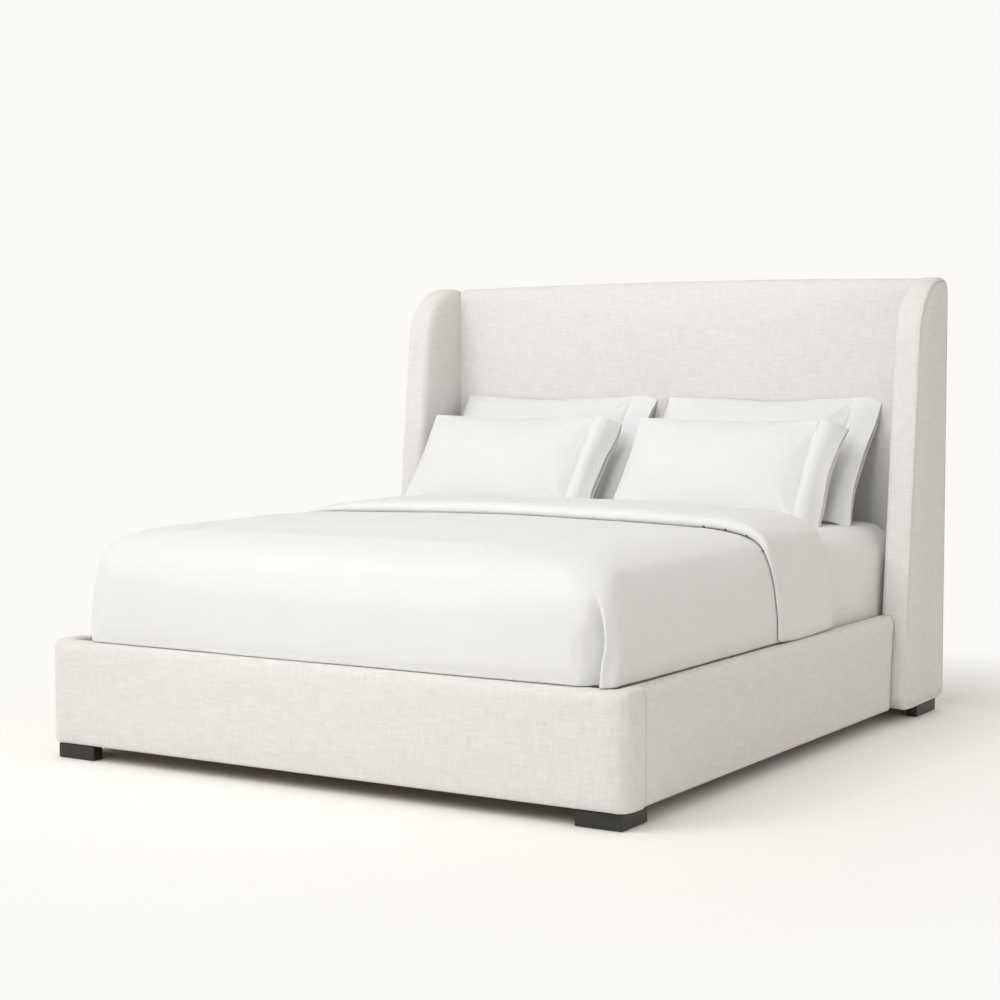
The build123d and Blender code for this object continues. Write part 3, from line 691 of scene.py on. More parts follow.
def crown_lift(x, y):
    """Rise of the duvet's top above its outer flat, fullest along the middle of the bed."""
    across = np.clip(1 - (np.abs(x) / (duvet_side - side_insets[-1])) ** 2.2, 0, 1)
    return drops[-1] * across * smooth((y - duvet_low.y - foot_insets[-1]) / 0.35)


def cloth_waves(points):
    """Soft unevenness of filled bedding, the same for pieces that lie on each other."""
    broad = waves(points * [1, 1, 0.6], 0.42, 11) * broad_height
    middle = waves(points * [1.0, 1.3, 0.8], 0.17, 12) * middle_height
    fine = waves(points * [1.3, 1, 1], 0.06, 13) * fine_height
    return broad + middle + fine


def tuck_pleats(points):
    """Presses the pocket of the folded cloth into the right foot corner and rolls its edge outwards."""
    heights = [z for z, x in pleat_edge]
    edges = [x for z, x in pleat_edge]
    x = points[:, 0]
    edge = np.interp(points[:, 2], heights, edges)
    apex = heights[-1]
    fade = smooth((apex - points[:, 2]) / 0.13)
    width = pleat_width * (0.25 + 0.75 * fade)
    near_foot = smooth((duvet_low.y + 0.10 - points[:, 1]) / 0.06)
    behind = (edge - x) / width
    pocket = np.where(behind > 0, smooth(1 - behind) * smooth(behind / 0.16), 0)
    roll = np.exp(-((x - edge - 0.008) / 0.009) ** 2)
    moved = points.copy()
    rolled = roll * pleat_roll * smooth((apex + 0.02 - points[:, 2]) / 0.1)
    moved[:, 1] += near_foot * (pocket * pleat_depth * fade - rolled)
    return moved


def thicken(piece, inner_points):
    """Closes a cloth surface with a second one inside it, point for point."""
    shape = bmesh.new()
    shape.from_mesh(piece.data)
    uv = shape.loops.layers.uv["weave"]
    shape.verts.ensure_lookup_table()
    outer = list(shape.verts)
    inner = [shape.verts.new(Vector(point)) for point in inner_points]
    match = dict(zip(outer, inner))
    rims = [edge for edge in shape.edges if len(edge.link_faces) == 1]
    for face in list(shape.faces):
        twin = shape.faces.new([match[vertex] for vertex in reversed(face.verts)])
        places = [loop[uv].uv.copy() for loop in face.loops]
        for loop, place in zip(twin.loops, reversed(places)):
            loop[uv].uv = place
    for edge in rims:
        loop = edge.link_loops[0]
        low, high = loop.vert, loop.link_loop_next.vert
        start, end = loop[uv].uv.copy(), loop.link_loop_next[uv].uv.copy()
        wall = shape.faces.new([high, low, match[low], match[high]])
        for corner, place in zip(wall.loops, (end, start, start, end)):
            corner[uv].uv = place
    shape.to_mesh(piece.data)
    shape.free()
    face_outwards(piece)


def under_duvet(points, gap=0.002):
    """Nearest places on the made mattress, drawn a gap outwards."""
    side = sheet_high.x + gap
    foot = sheet_low.y - gap
    top = sheet_high.z + gap
    radius = 0.124
    core_x = np.clip(points[:, 0], -(side - radius), side - radius)
    core_y = np.maximum(points[:, 1], foot + radius)
    core_z = np.minimum(points[:, 2], top - radius)
    arm = points - np.stack([core_x, core_y, core_z], 1)
    flat = np.linalg.norm(arm, axis=1) < 1e-6
    arm[flat] = (0, 0, 1)
    return np.stack([core_x, core_y, core_z], 1) + arm / np.linalg.norm(arm, axis=1)[:, None] * radius


def duvet_body():
    head = duvet_edge + duvet_seam_from_edge
    foot = duvet_low.y
    corners = [(-duvet_side, foot, 0), (duvet_side, foot, 0), (duvet_side, head, 0), (-duvet_side, head, 0)]
    rows = []
    for drop, side_in, foot_in in zip(drops, side_insets, foot_insets):
        ring = inset_corners(corners, (foot_in, side_in, 0, side_in))
        foot_round = 0.045 + side_in * 0.8 - 0.020 * smooth((drop - 0.24) / 0.1)
        rounds = (foot_round, foot_round, smallest_round, smallest_round)
        ring = [(a, b, radius) for (a, b, _), radius in zip(ring, rounds)]
        rows.append((ring, duvet_top - drop))

    def place(a, b, depth):
        run = np.interp(depth, (duvet_hem, 0.6), (foot_pull_run_at_hem, foot_pull_run))
        pull = np.interp((b - foot) / run, foot_pull_places, foot_pull_shares)
        left_pull = np.interp((b - foot) / foot_pull_run, foot_pull_places, left_pull_shares)
        side_pull = np.where(a < 0, left_foot_pull * left_pull, foot_pull * pull)
        near_hem = smooth((foot + 0.06 - b) / 0.05) * smooth((duvet_hem + 0.012 - depth) / 0.02)
        height = depth + crown_lift(a, b) - near_hem * foot_hem_sink
        return np.stack([a * (1 - side_pull / duvet_side), b, height], 1)

    piece = pad("duvet_main_length", rows, duvet_cells, place, bunch=0.72, faced=(False, True))
    shape = bmesh.new()
    shape.from_mesh(piece.data)
    cut = [face for face in shape.faces if min(vertex.co.y for vertex in face.verts) > head - 1e-4]
    bmesh.ops.delete(shape, geom=cut, context="FACES")
    shape.to_mesh(piece.data)
    shape.free()
    points = coordinates(piece)
    inner = under_duvet(points)
    out = coordinates(piece, "normal")
    points = points + out * cloth_waves(points)[:, None]
    points = tuck_pleats(points)
    move_points(piece, points)
    thicken(piece, inner)
    count = len(points)
    held = np.arange(2 * count) >= count
    held |= (coordinates(piece)[:, 2] < duvet_hem + 0.02) | (coordinates(piece)[:, 1] > head - 0.03)
    puff(piece, held, soft_pressure, duvet_reach, duvet_frames)
    refine(piece)
    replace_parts(piece, "duvet")
    return piece


def smooth_line(stops, count):
    """Evenly spaced points along a smooth line through stops."""
    stops = np.array(stops, float)
    padded = np.concatenate([[2 * stops[0] - stops[1]], stops, [2 * stops[-1] - stops[-2]]])
    line = []
    for index in range(1, len(padded) - 2):
        p0, p1, p2, p3 = padded[index - 1:index + 3]
        t = np.linspace(0, 1, 20, endpoint=False)[:, None]
        line.append(0.5 * (2 * p1 + (p2 - p0) * t + (2 * p0 - 5 * p1 + 4 * p2 - p3) * t ** 2
                           + (3 * p1 - p0 - 3 * p2 + p3) * t ** 3))
    line = np.concatenate(line + [stops[-1:]])
    steps = np.linalg.norm(np.diff(line, axis=0), axis=1)
    along = np.concatenate([[0], np.cumsum(steps)])
    wanted = np.linspace(0, along[-1], count)
    return np.stack([np.interp(wanted, along, line[:, axis]) for axis in range(2)], 1)


def duvet_lines(count):
    """Sections of the duvet across the bed: its inner face, its outer face and the turned layer on top."""
    half = [(duvet_side - inset, duvet_top - drop) for drop, inset in zip(drops, side_insets)]
    half += [(0.5, duvet_top - 0.0052), (0.25, duvet_top - 0.0012)]
    outer = smooth_line([(-x, z) for x, z in half] + [(0, duvet_top)] + half[::-1], count)
    flat = np.stack([outer[:, 0], np.full(count, 0.3), outer[:, 1]], 1)
    inner = under_duvet(flat)[:, [0, 2]]
    along = np.gradient(outer, axis=0)
    out = np.stack([-along[:, 1], along[:, 0]], 1)
    out /= np.linalg.norm(out, axis=1)[:, None]
    loft = shoulder_loft + (turnback_loft - shoulder_loft) * smooth((outer[:, 1] - 0.58) / 0.1)
    left = 0.004 + (turnback_loft - 0.004) * smooth((outer[:, 0] + 0.90) / 0.38)
    loft = np.where(outer[:, 0] < 0, np.minimum(loft, left), loft)
    return inner, outer, outer + out * loft[:, None]


def duvet_turned_end():
    """Head end of the duvet, folded back on itself: one closed form swept across the bed."""
    count = duvet_line_cells
    lines = duvet_lines(count)
    crease = duvet_edge + 0.03
    nose = duvet_fold - fold_round
    contour = [(crease, 0.02), (nose, 0.02)]
    for turn in np.linspace(0.35, math.pi - 0.35, 7):
        contour.append((nose + fold_round * math.sin(turn), 1 - math.cos(turn)))
    contour += [(nose, 1.99), (duvet_edge + duvet_seam_from_edge, 2.0)]
    contour += [
        (duvet_edge + 0.012, 1.93), (duvet_edge + 0.002, 1.72), (duvet_edge, 1.45),
        (duvet_edge + 0.003, 1.2), (duvet_edge + 0.011, 1.06), (crease, 1.0),
    ]
    dense = []
    for (y, layer), (next_y, next_layer) in zip(contour, contour[1:] + contour[:1]):
        parts = max(1, round(abs(next_y - y) / 0.014), round(abs(next_layer - layer) / 0.6))
        for part in range(parts):
            dense.append((y + (next_y - y) * part / parts, layer + (next_layer - layer) * part / parts))
    points = np.zeros((len(dense), count, 3))
    for index, (y, layer) in enumerate(dense):
        low = min(int(layer), 1)
        share = layer - low
        section = lines[low] * (1 - share) + lines[low + 1] * share
        points[index, :, 0] = section[:, 0]
        points[index, :, 1] = y
        points[index, :, 2] = section[:, 1]
    flat = points.reshape(-1, 3)
    weight = np.repeat([smooth((layer - 0.5) / 0.5) for y, layer in dense], count)
    out = np.zeros_like(flat)
    line_out = np.gradient(lines[1], axis=0)
    line_out = np.stack([-line_out[:, 1], line_out[:, 0]], 1)
    line_out /= np.linalg.norm(line_out, axis=1)[:, None]
    out[:, [0, 2]] = np.tile(line_out, (len(dense), 1))
    flat = flat + out * (cloth_waves(flat) * weight)[:, None]
    edge_sway = waves(flat * [1, 0, 1], 0.11, 21) * 0.004 + waves(flat * [1, 0, 1], 0.04, 22) * 0.0012
    near_edge = [smooth((duvet_edge + 0.05 - y) / 0.04) * (layer > 0.9) for y, layer in dense]
    flat[:, 1] += edge_sway * np.repeat(near_edge, count)
    across = np.concatenate([[0], np.cumsum(np.linalg.norm(np.diff(lines[1], axis=0), axis=1))])
    along = [0]
    for (y, layer), (next_y, next_layer) in zip(dense, dense[1:] + dense[:1]):
        along.append(along[-1] + math.hypot(next_y - y, (next_layer - layer) * 0.035))
    names = np.arange(len(flat)).reshape(len(dense), count)
    names = np.concatenate([names, names[:1]])
    faces, uvs = grid_faces(names, grid_places(along, across)[..., ::-1])
    for step in (0, count - 1):
        faces.append(tuple(index * count + step for index in range(len(dense))))
        uvs += [(layer * 0.04, y) for y, layer in dense]
    piece = mesh_piece("duvet_turned_back_end", flat, faces, uvs)
    face_outwards(piece)
    held = np.repeat([layer < 0.95 or y < duvet_edge + 0.02 for y, layer in dense], count)
    puff(piece, held, soft_pressure, duvet_end_reach, duvet_frames)
    refine(piece)
    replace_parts(piece, "duvet")
    return piece


# Pillows

def pillow_frame(row, side, lean):
    """Place function of a leaning pillow: x along the bed's width, y up its slope, z out of its front."""
    low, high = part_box("pillow_filling_" + row + "_" + side)
    centre = np.array((low + high) / 2)
    angle = math.radians(lean)
    slope = (0, math.sin(angle), math.cos(angle))
    front = (0, -math.cos(angle), math.sin(angle))
    axes = np.array([(1, 0, 0), slope, front])
    half_length = (high.x - low.x) / 2 + pillow_case_over_filling

    def place(x, y, z):
        return centre + np.stack([x, y, z], 1) @ axes

    return place, half_length


def pillow(row, side, lean, loft, seed):
    """Stuffed case: two crowned faces sewn round the rim, with drawn-in sides and pinched corners."""
    place, half_length = pillow_frame(row, side, lean)
    half_height = pillow_half_heights[row]
    across, tall = pillow_cells
    corners = [
        (-half_length, -half_height, pillow_seam_round), (half_length, -half_height, pillow_seam_round),
        (half_length, half_height, pillow_seam_round), (-half_length, half_height, pillow_seam_round),
    ]
    grid = patch(rounded_ring(corners, pillow_cells), pillow_cells)
    a = grid[..., 0] / half_length
    b = grid[..., 1] / half_height
    full = (1 - np.abs(a) ** pillow_crown_power) * (1 - np.abs(b) ** pillow_crown_power)
    full = np.clip(full, 0, 1) ** pillow_fullness
    end_draw = np.where(a < 0, pillow_end_draw, cuff_end_draw)
    x = grid[..., 0] * (1 - end_draw / half_length * (1 - np.abs(b) ** 2.2))
    y = grid[..., 1] * (1 - pillow_side_draw / half_height * (1 - np.abs(a) ** 3))
    dip_at = 0.1 + 0.12 * math.sin(seed)
    y = y - np.exp(-((a - dip_at) / 0.4) ** 2) * smooth((b - 0.3) / 0.7) * pillow_dips[row]
    y = y + waves(np.stack([x.ravel(), y.ravel(), y.ravel() * 0], 1), 0.11, seed + 5).reshape(y.shape) * 0.003
    rise = loft / 2 * full * (1 - 0.10 * b)
    front_names = np.arange((across + 1) * (tall + 1)).reshape(across + 1, tall + 1)
    rim = np.zeros((across + 1, tall + 1), bool)
    rim[0] = rim[-1] = True
    rim[:, 0] = rim[:, -1] = True
    front = np.stack([x.ravel(), y.ravel(), rise.ravel()], 1)
    back = np.stack([x[~rim], y[~rim], -rise[~rim]], 1)
    back_names = front_names.copy()
    back_names[~rim] = len(front) + np.arange(len(back))
    faces, uvs = grid_faces(front_names, np.stack([x, y], -1), face_square)
    back_faces, back_uvs = grid_faces(back_names, np.stack([x, y + 1], -1), face_square[::-1])
    faces += back_faces
    uvs += back_uvs
    local = np.concatenate([front, back])
    facing = np.concatenate([np.where(rim.ravel(), 0, 1), -np.ones(len(back))])
    local[:, 2] += facing * pillow_creases(local, half_length, half_height, seed)
    piece = mesh_piece("pillow_" + row + "_" + side, place(*local.T), faces, uvs)
    face_outwards(piece)
    far_x = half_length - np.abs(local[:, 0])
    far_y = half_height - np.abs(local[:, 1])
    puff(piece, np.hypot(far_x, far_y) < 0.03, pillow_pressure, pillow_reach)
    refine(piece)
    cuff = pillow_cuff(row, side, place, half_length, half_height, seed)
    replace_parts(piece, "pillow_case_" + row + "_" + side, "pillow_filling_" + row + "_" + side)
    return piece, cuff


def pillow_creases(local, half_length, half_height, seed):
    """Height of the soft creases: fans at the corners, short ones along the cuff's seam, broad unevenness."""
    crease = np.zeros(len(local))
    for corner_x in (-1, 1):
        for corner_y in (-1, 1):
            dx = local[:, 0] - corner_x * half_length
            dy = local[:, 1] - corner_y * half_height
            far = np.hypot(dx, dy)
            fan = np.sin(np.arctan2(dy, dx) * 13 + seed * corner_x + corner_y)
            crease += fan * np.exp(-far / 0.09) * smooth(far / 0.05) * 0.0085
    from_seam = half_length - local[:, 0]
    pleats = np.sin(local[:, 1] * 75 + 3 * np.sin(local[:, 1] * 19 + seed) + seed)
    crease += pleats * np.exp(-from_seam / 0.05) * smooth(from_seam / 0.02) * 0.0022
    soft = waves(local, 0.17, seed) * 0.0075 + waves(local * [1.6, 1, 1], 0.07, seed + 1) * 0.0022
    return crease + soft * smooth(np.abs(local[:, 2]) / 0.04)


def pillow_cuff(row, side, place, half_length, half_height, seed):
    """Open hem of a pillow case: two cloth layers that bend back and sway at their free edge."""
    rows = 16
    turns = 84
    turn = np.linspace(0, 2 * math.pi, turns, endpoint=False)
    around = -np.cos(turn)
    around = np.sign(around) * np.abs(around) ** 0.75
    points = []
    x = half_length - 0.014
    z = 0.0
    step = (cuff_length + 0.012) / rows
    for index in range(rows + 1):
        share = index / rows
        tall = half_height - 0.004 + 0.008 * share ** 2
        hollow = (1 - around ** 2) * smooth(share / 0.9)
        gap = (0.004 + 0.007 * share - 0.003 * math.exp(-((share - 0.17) / 0.05) ** 2))
        gap = gap * np.sqrt(np.clip(1 - around ** 2, 0, 1))
        sway = (np.sin(around * 3.4 + seed) * 0.010 + np.sin(around * 7.9 + seed * 2) * 0.0035) * share
        start = cuff_end_draw * (1 - around ** 2) * (1 - share)
        layer = np.sign(np.sin(turn)) * gap
        points.append(place(x - start - hollow * cuff_hollow, around * tall, z + layer + sway))
        bend = cuff_bends[row] * smooth(share * 1.6)
        x += step * math.cos(bend)
        z -= step * math.sin(bend)
    names = np.arange((rows + 1) * turns).reshape(rows + 1, turns)
    names = np.concatenate([names, names[:, :1]], 1)
    places = grid_places(np.linspace(0, cuff_length, rows + 1), np.linspace(0, 4 * half_height, turns + 1))
    faces, uvs = grid_faces(names, places)
    piece = mesh_piece("pillow_cuff_" + row + "_" + side, np.concatenate(points), faces, uvs)
    face_outwards(piece)
    add_thickness(piece, cloth_thickness, 0)
    refine(piece)
    return piece


# Headboard's back cloth

def back_cloth():
    low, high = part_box("headboard_back_cloth")
    places = grid_places(np.linspace(low.x, high.x, 61), np.linspace(low.z, high.z, 49))
    flat = places.reshape(-1, 2)
    points = np.stack([flat[:, 0], np.full(len(flat), high.y - 0.0002), flat[:, 1]], 1)
    names = np.arange(len(flat)).reshape(places.shape[:2])
    piece = mesh_piece("headboard_dust_cloth", points, *grid_faces(names, places))
    add_thickness(piece, cloth_thickness / 2, -1)
    face_outwards(piece)
    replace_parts(piece, "headboard_back_cloth")
    return piece, (high.x - low.x, high.z - low.z)


# Finishes

class Value:
    """A shader's socket that takes part in plain arithmetic."""

    def __init__(self, finish, socket):
        self.finish = finish
        self.socket = socket

    def join(self, operation, other=None, first=False):
        inputs = {0: other, 1: self} if first else {0: self, 1: other}
        if other is None:
            inputs = {0: self}
        return self.finish.add("ShaderNodeMath", inputs, operation=operation)

    def __add__(self, other):
        return self.join("ADD", other)

    def __sub__(self, other):
        return self.join("SUBTRACT", other)

    def __rsub__(self, other):
        return self.join("SUBTRACT", other, first=True)

    def __mul__(self, other):
        return self.join("MULTIPLY", other)

    def __truediv__(self, other):
        return self.join("DIVIDE", other)

    def __pow__(self, other):
        return self.join("POWER", other)

    def over(self, other):
        return self.join("GREATER_THAN", other)

    def highest(self, other):
        return self.join("MAXIMUM", other)

    __radd__ = __add__
    __rmul__ = __mul__


class Finish:
    """A material, with one method for every node it needs."""

    def __init__(self, name, roughness=0.8, **constants):
        self.material = bpy.data.materials.new(name)
        self.material.use_nodes = True
        self.tree = self.material.node_tree
        self.shader = self.tree.nodes["Principled BSDF"]
        self.shader.inputs["Roughness"].default_value = roughness
        for socket, value in constants.items():
            self.shader.inputs[socket.replace("_", " ")].default_value = value

    def add(self, kind, values=None, out=0, stops=None, **settings):
        node = self.tree.nodes.new(kind)
        for key, setting in settings.items():
            setattr(node, key, setting)
        if stops:
            ramp = node.color_ramp
            while len(ramp.elements) < len(stops):
                ramp.elements.new(0.5)
            for element, (place, colour) in zip(ramp.elements, stops):
                element.position = place
                element.color = (*colour, 1)
        for key, value in (values or {}).items():
            if isinstance(value, Value):
                self.tree.links.new(value.socket, node.inputs[key])
            else:
                node.inputs[key].default_value = value
        return Value(self, node.outputs[out])

    def feed(self, socket, value):
        self.tree.links.new(value.socket, self.shader.inputs[socket])

    def split(self, vector):
        return [self.add("ShaderNodeSeparateXYZ", {0: vector}, out=axis) for axis in range(3)]

    def joined(self, x, y, z):
        return self.add("ShaderNodeCombineXYZ", {0: x, 1: y, 2: z})

    def noise(self, vector, scale, detail=2.0, roughness=0.5):
        return self.add("ShaderNodeTexNoise", {
            "Vector": vector, "Scale": scale, "Detail": detail, "Roughness": roughness,
        })

    def blend(self, share, first, second):
        """Colour between two colours."""
        values = {0: share}
        for key, colour in ((6, first), (7, second)):
            values[key] = colour if isinstance(colour, Value) else (*colour, 1)
        return self.add("ShaderNodeMix", values, out=2, data_type="RGBA")

    def bump(self, height, distance, strength=1.0):
        self.feed("Normal", self.add("ShaderNodeBump", {
            "Height": height, "Distance": distance, "Strength": strength,
        }))

    def place(self):
        return self.add("ShaderNodeTexCoord", out=3)

    def weave_place(self):
        return self.add("ShaderNodeUVMap", uv_map="weave")


def threads(finish, vector, pitch, wander):
    """Height of a plain weave, the share of warp on top, and the two thread places."""
    u, v, _ = finish.split(vector)
    sway_u = (finish.noise(vector, 21.0) - 0.5) * wander
    sway_v = (finish.noise(finish.joined(v, u, 0.7), 21.0) - 0.5) * wander
    warp_place = (u + sway_u) / pitch
    weft_place = (v + sway_v) / pitch
    warp_wave = (warp_place * math.pi).join("SINE")
    weft_wave = (weft_place * math.pi).join("SINE")
    warp = warp_wave.join("ABSOLUTE")
    weft = weft_wave.join("ABSOLUTE")
    over = (warp_wave * weft_wave).over(0.0)
    warp_height = warp * (weft * 0.45 + 0.55)
    weft_height = weft * (warp * 0.45 + 0.55)
    height = over * warp_height + (1 - over) * weft_height
    return height, over, warp_place, weft_place


upholstery_light = (0.985, 0.980, 0.972)
upholstery_dark = (0.74, 0.722, 0.70)
upholstery_slub = (0.995, 0.992, 0.988)
# Colour of the painted shade in the gaps between the threads
upholstery_gap_painted_shade = (0.42, 0.39, 0.35)


def upholstery():
    """Open linen-like cloth: uneven threads and slubs, with painted shade, dark and warm, in the gaps between
    threads.
    """
    finish = Finish("oat_linen_upholstery", roughness=0.9, Sheen_Weight=0.12, Sheen_Roughness=0.6)
    vector = finish.weave_place()
    height, over, warp_place, weft_place = threads(finish, vector, thread_pitch, thread_pitch * 1.1)
    u, v, _ = finish.split(vector)
    warp_tone = finish.noise(finish.joined(warp_place * 0.55, v * 15.0, 0.0), 1.0, detail=2.0)
    weft_tone = finish.noise(finish.joined(weft_place * 0.55, u * 15.0, 5.0), 1.0, detail=2.0)
    tone = (over * warp_tone + (1 - over) * weft_tone - 0.5) * 1.5 + 0.55
    slub_warp = finish.noise(finish.joined(warp_place * 0.9, v * 26.0, 2.0), 1.0).over(0.66)
    slub_weft = finish.noise(finish.joined(weft_place * 0.9, u * 26.0, 8.0), 1.0).over(0.66)
    slub = (over * slub_warp).highest((1 - over) * slub_weft)
    cloudy = finish.noise(vector, 5.5, detail=4.0)
    base = finish.blend(tone, upholstery_dark, upholstery_light)
    base = finish.blend(slub * 0.55, base, upholstery_slub)
    # Painted shade: the gaps between the threads are darkened with a warm brown
    base = finish.blend((1 - height) ** 2.0 * 0.55, base, upholstery_gap_painted_shade)
    base = finish.blend(cloudy * 0.16, base, upholstery_dark)
    finish.feed("Base Color", base)
    finish.feed("Roughness", 0.94 - height * 0.1)
    finish.bump(height * 0.8 + slub * 0.6 + tone * 0.5, 0.0015, 0.75)
    return finish.material


def bed_linen(name, light, dark, pitch):
    """Smooth fine cotton: barely visible weave, soft pressed creases."""
    finish = Finish(name, roughness=0.72, Sheen_Weight=0.18, Sheen_Roughness=0.35)
    vector = finish.weave_place()
    height, over, warp_place, weft_place = threads(finish, vector, pitch, pitch * 0.8)
    place = finish.place()
    cloudy = finish.noise(place, 7.0, detail=5.0)
    creased = finish.noise(place, 26.0, detail=6.0, roughness=0.62)
    base = finish.blend(cloudy, dark, light)
    # Painted shade: the gaps between the fine threads are darkened a little
    base = finish.blend((1 - height) * 0.10, base, dark)
    finish.feed("Base Color", base)
    finish.feed("Roughness", 0.66 + creased * 0.12)
    finish.bump(height * 0.06 + creased * 0.9, 0.0016, 0.45)
    return finish.material


def ticking():
    """Knitted mattress cloth with a quilted diamond."""
    finish = Finish("knitted_ticking", roughness=0.85, Sheen_Weight=0.1)
    vector = finish.weave_place()
    height, over, warp_place, weft_place = threads(finish, vector, 0.0022, 0.001)
    u, v, _ = finish.split(vector)
    rising = ((u + v) * math.pi / 0.12).join("SINE").join("ABSOLUTE")
    falling = ((u - v) * math.pi / 0.12).join("SINE").join("ABSOLUTE")
    quilt = rising.join("MINIMUM", falling) ** 0.4
    base = finish.blend(quilt, (0.66, 0.65, 0.62), (0.84, 0.83, 0.8))
    finish.feed("Base Color", base)
    finish.feed("Roughness", 0.88 - height * 0.08)
    finish.bump(quilt * 4.0 + height * 0.3, 0.0015, 0.6)
    return finish.material


def timber(name, light, dark, axis, scale=1.0, roughness=0.6, coat=0.0):
    """Sawn wood with its grain along one axis."""
    finish = Finish(name, roughness=roughness, Coat_Weight=coat, Coat_Roughness=0.3)
    stretch = [9.0, 9.0, 9.0]
    stretch[axis] = 0.55
    vector = finish.add("ShaderNodeMapping", {"Vector": finish.place(), "Scale": stretch})
    bend = finish.noise(vector, 1.4 * scale, detail=3.0)
    rings = finish.noise(vector, 7.0 * scale, detail=6.0, roughness=0.62)
    fibre = finish.noise(vector, 46.0 * scale, detail=3.0)
    grain = rings * 0.6 + bend * 0.4
    tones = finish.add("ShaderNodeValToRGB", {0: grain}, stops=[
        (0.32, dark), (0.5, tuple((a + b) / 2 for a, b in zip(light, dark))), (0.66, light),
    ])
    base = finish.blend(fibre.over(0.62) * 0.25, tones, dark)
    finish.feed("Base Color", base)
    finish.feed("Roughness", roughness - 0.1 + fibre * 0.2)
    finish.bump(fibre * 0.6 + rings * 0.4, 0.0006, 0.5)
    return finish.material


def foam_finish(name, light, dark):
    """Open-celled foam or wadding."""
    finish = Finish(name, roughness=0.95)
    cells = finish.add("ShaderNodeTexVoronoi", {"Vector": finish.place(), "Scale": 420.0})
    cloudy = finish.noise(finish.place(), 12.0, detail=4.0)
    finish.feed("Base Color", finish.blend(cells * 0.5 + cloudy * 0.5, dark, light))
    finish.feed("Roughness", 0.9 + cells * 0.08)
    finish.bump(cells, 0.0009, 0.6)
    return finish.material


def powder_coat():
    """Black powder-coated steel, rubbed lighter in places."""
    finish = Finish("black_powder_coat", roughness=0.5, Metallic=0.0)
    pebble = finish.noise(finish.place(), 900.0, detail=2.0)
    rub = finish.noise(finish.place(), 30.0, detail=5.0)
    finish.feed("Base Color", finish.blend(rub.over(0.62) * 0.3, (0.018, 0.018, 0.02), (0.09, 0.09, 0.095)))
    finish.feed("Roughness", 0.42 + rub * 0.25)
    finish.bump(pebble, 0.0003, 0.5)
    return finish.material


def plated_steel():
    """Zinc-plated fasteners with turning marks."""
    finish = Finish("zinc_plated_steel", roughness=0.35, Metallic=1.0)
    marks = finish.noise(finish.add("ShaderNodeMapping", {
        "Vector": finish.place(), "Scale": (1.0, 1.0, 14.0),
    }), 240.0, detail=3.0)
    spots = finish.noise(finish.place(), 90.0, detail=4.0)
    finish.feed("Base Color", finish.blend(spots, (0.52, 0.52, 0.5), (0.72, 0.72, 0.7)))
    finish.feed("Roughness", 0.26 + marks * 0.25)
    finish.bump(marks, 0.0002, 0.3)
    return finish.material


def fibrous(name, light, dark, scale, roughness=0.95):
    """Felt, webbing, thread and other stuff with a fine, cloudy grain."""
    finish = Finish(name, roughness=roughness)
    hair = finish.noise(finish.place(), scale, detail=6.0, roughness=0.75)
    mat = finish.noise(finish.place(), scale / 9, detail=3.0)
    finish.feed("Base Color", finish.blend(hair * 0.7 + mat * 0.3, dark, light))
    finish.feed("Roughness", roughness - 0.1 + hair * 0.1)
    finish.bump(hair, 0.0008, 0.6)
    return finish.material


def moulded_nylon():
    finish = Finish("moulded_nylon", roughness=0.45)
    skin = finish.noise(finish.place(), 700.0, detail=2.0)
    scuff = finish.noise(finish.place(), 60.0, detail=5.0)
    finish.feed("Base Color", finish.blend(scuff.over(0.6) * 0.4, (0.012, 0.012, 0.013), (0.06, 0.06, 0.06)))
    finish.feed("Roughness", 0.4 + scuff * 0.2)
    finish.bump(skin, 0.0002, 0.5)
    return finish.material


# Small pieces: stitches, buttons, straps and staples

def primitive(name, add, **settings):
    """New primitive on its own, selected, at its place in the mesh."""
    bpy.ops.object.select_all(action="DESELECT")
    add(**settings)
    piece = bpy.context.active_object
    piece.name = name
    piece.data.name = name
    return piece


def stitch_model():
    """One stitch: a short round thread that dives into the cloth at both ends."""
    stitch = primitive("stitch_model", bpy.ops.mesh.primitive_cylinder_add, vertices=6, radius=stitch_radius,
                       depth=stitch_length, rotation=(0, math.pi / 2, 0))
    bpy.ops.object.transform_apply(location=True, rotation=True, scale=True)
    bpy.ops.object.mode_set(mode="EDIT")
    bpy.ops.mesh.select_all(action="SELECT")
    for place in (-0.25, 0.25):
        bpy.ops.mesh.select_all(action="SELECT")
        bpy.ops.mesh.bisect(plane_co=(stitch_length * place, 0, 0), plane_no=(1, 0, 0))
    bpy.ops.object.mode_set(mode="OBJECT")
    points = coordinates(stitch)
    points[:, 2] -= (np.abs(points[:, 0]) > stitch_length * 0.4) * stitch_radius * 1.6
    points[:, 1:] *= np.where(np.abs(points[:, :1]) > stitch_length * 0.4, 0.6, 1)
    move_points(stitch, points)
    return stitch


def copies(name, model, centres, axes):
    """One piece of many copies of a small model, each at its centre and turned to its own three axes."""
    base = coordinates(model)
    shape = [tuple(polygon.vertices) for polygon in model.data.polygons]
    points = []
    faces = []
    for index, (centre, turned) in enumerate(zip(centres, axes)):
        points.append(centre + base @ turned)
        faces += [tuple(index * len(base) + corner for corner in face) for face in shape]
    uvs = [(0.0, 0.0)] * sum(len(face) for face in faces)
    piece = mesh_piece(name, np.concatenate(points), faces, uvs)
    face_outwards(piece)
    return piece


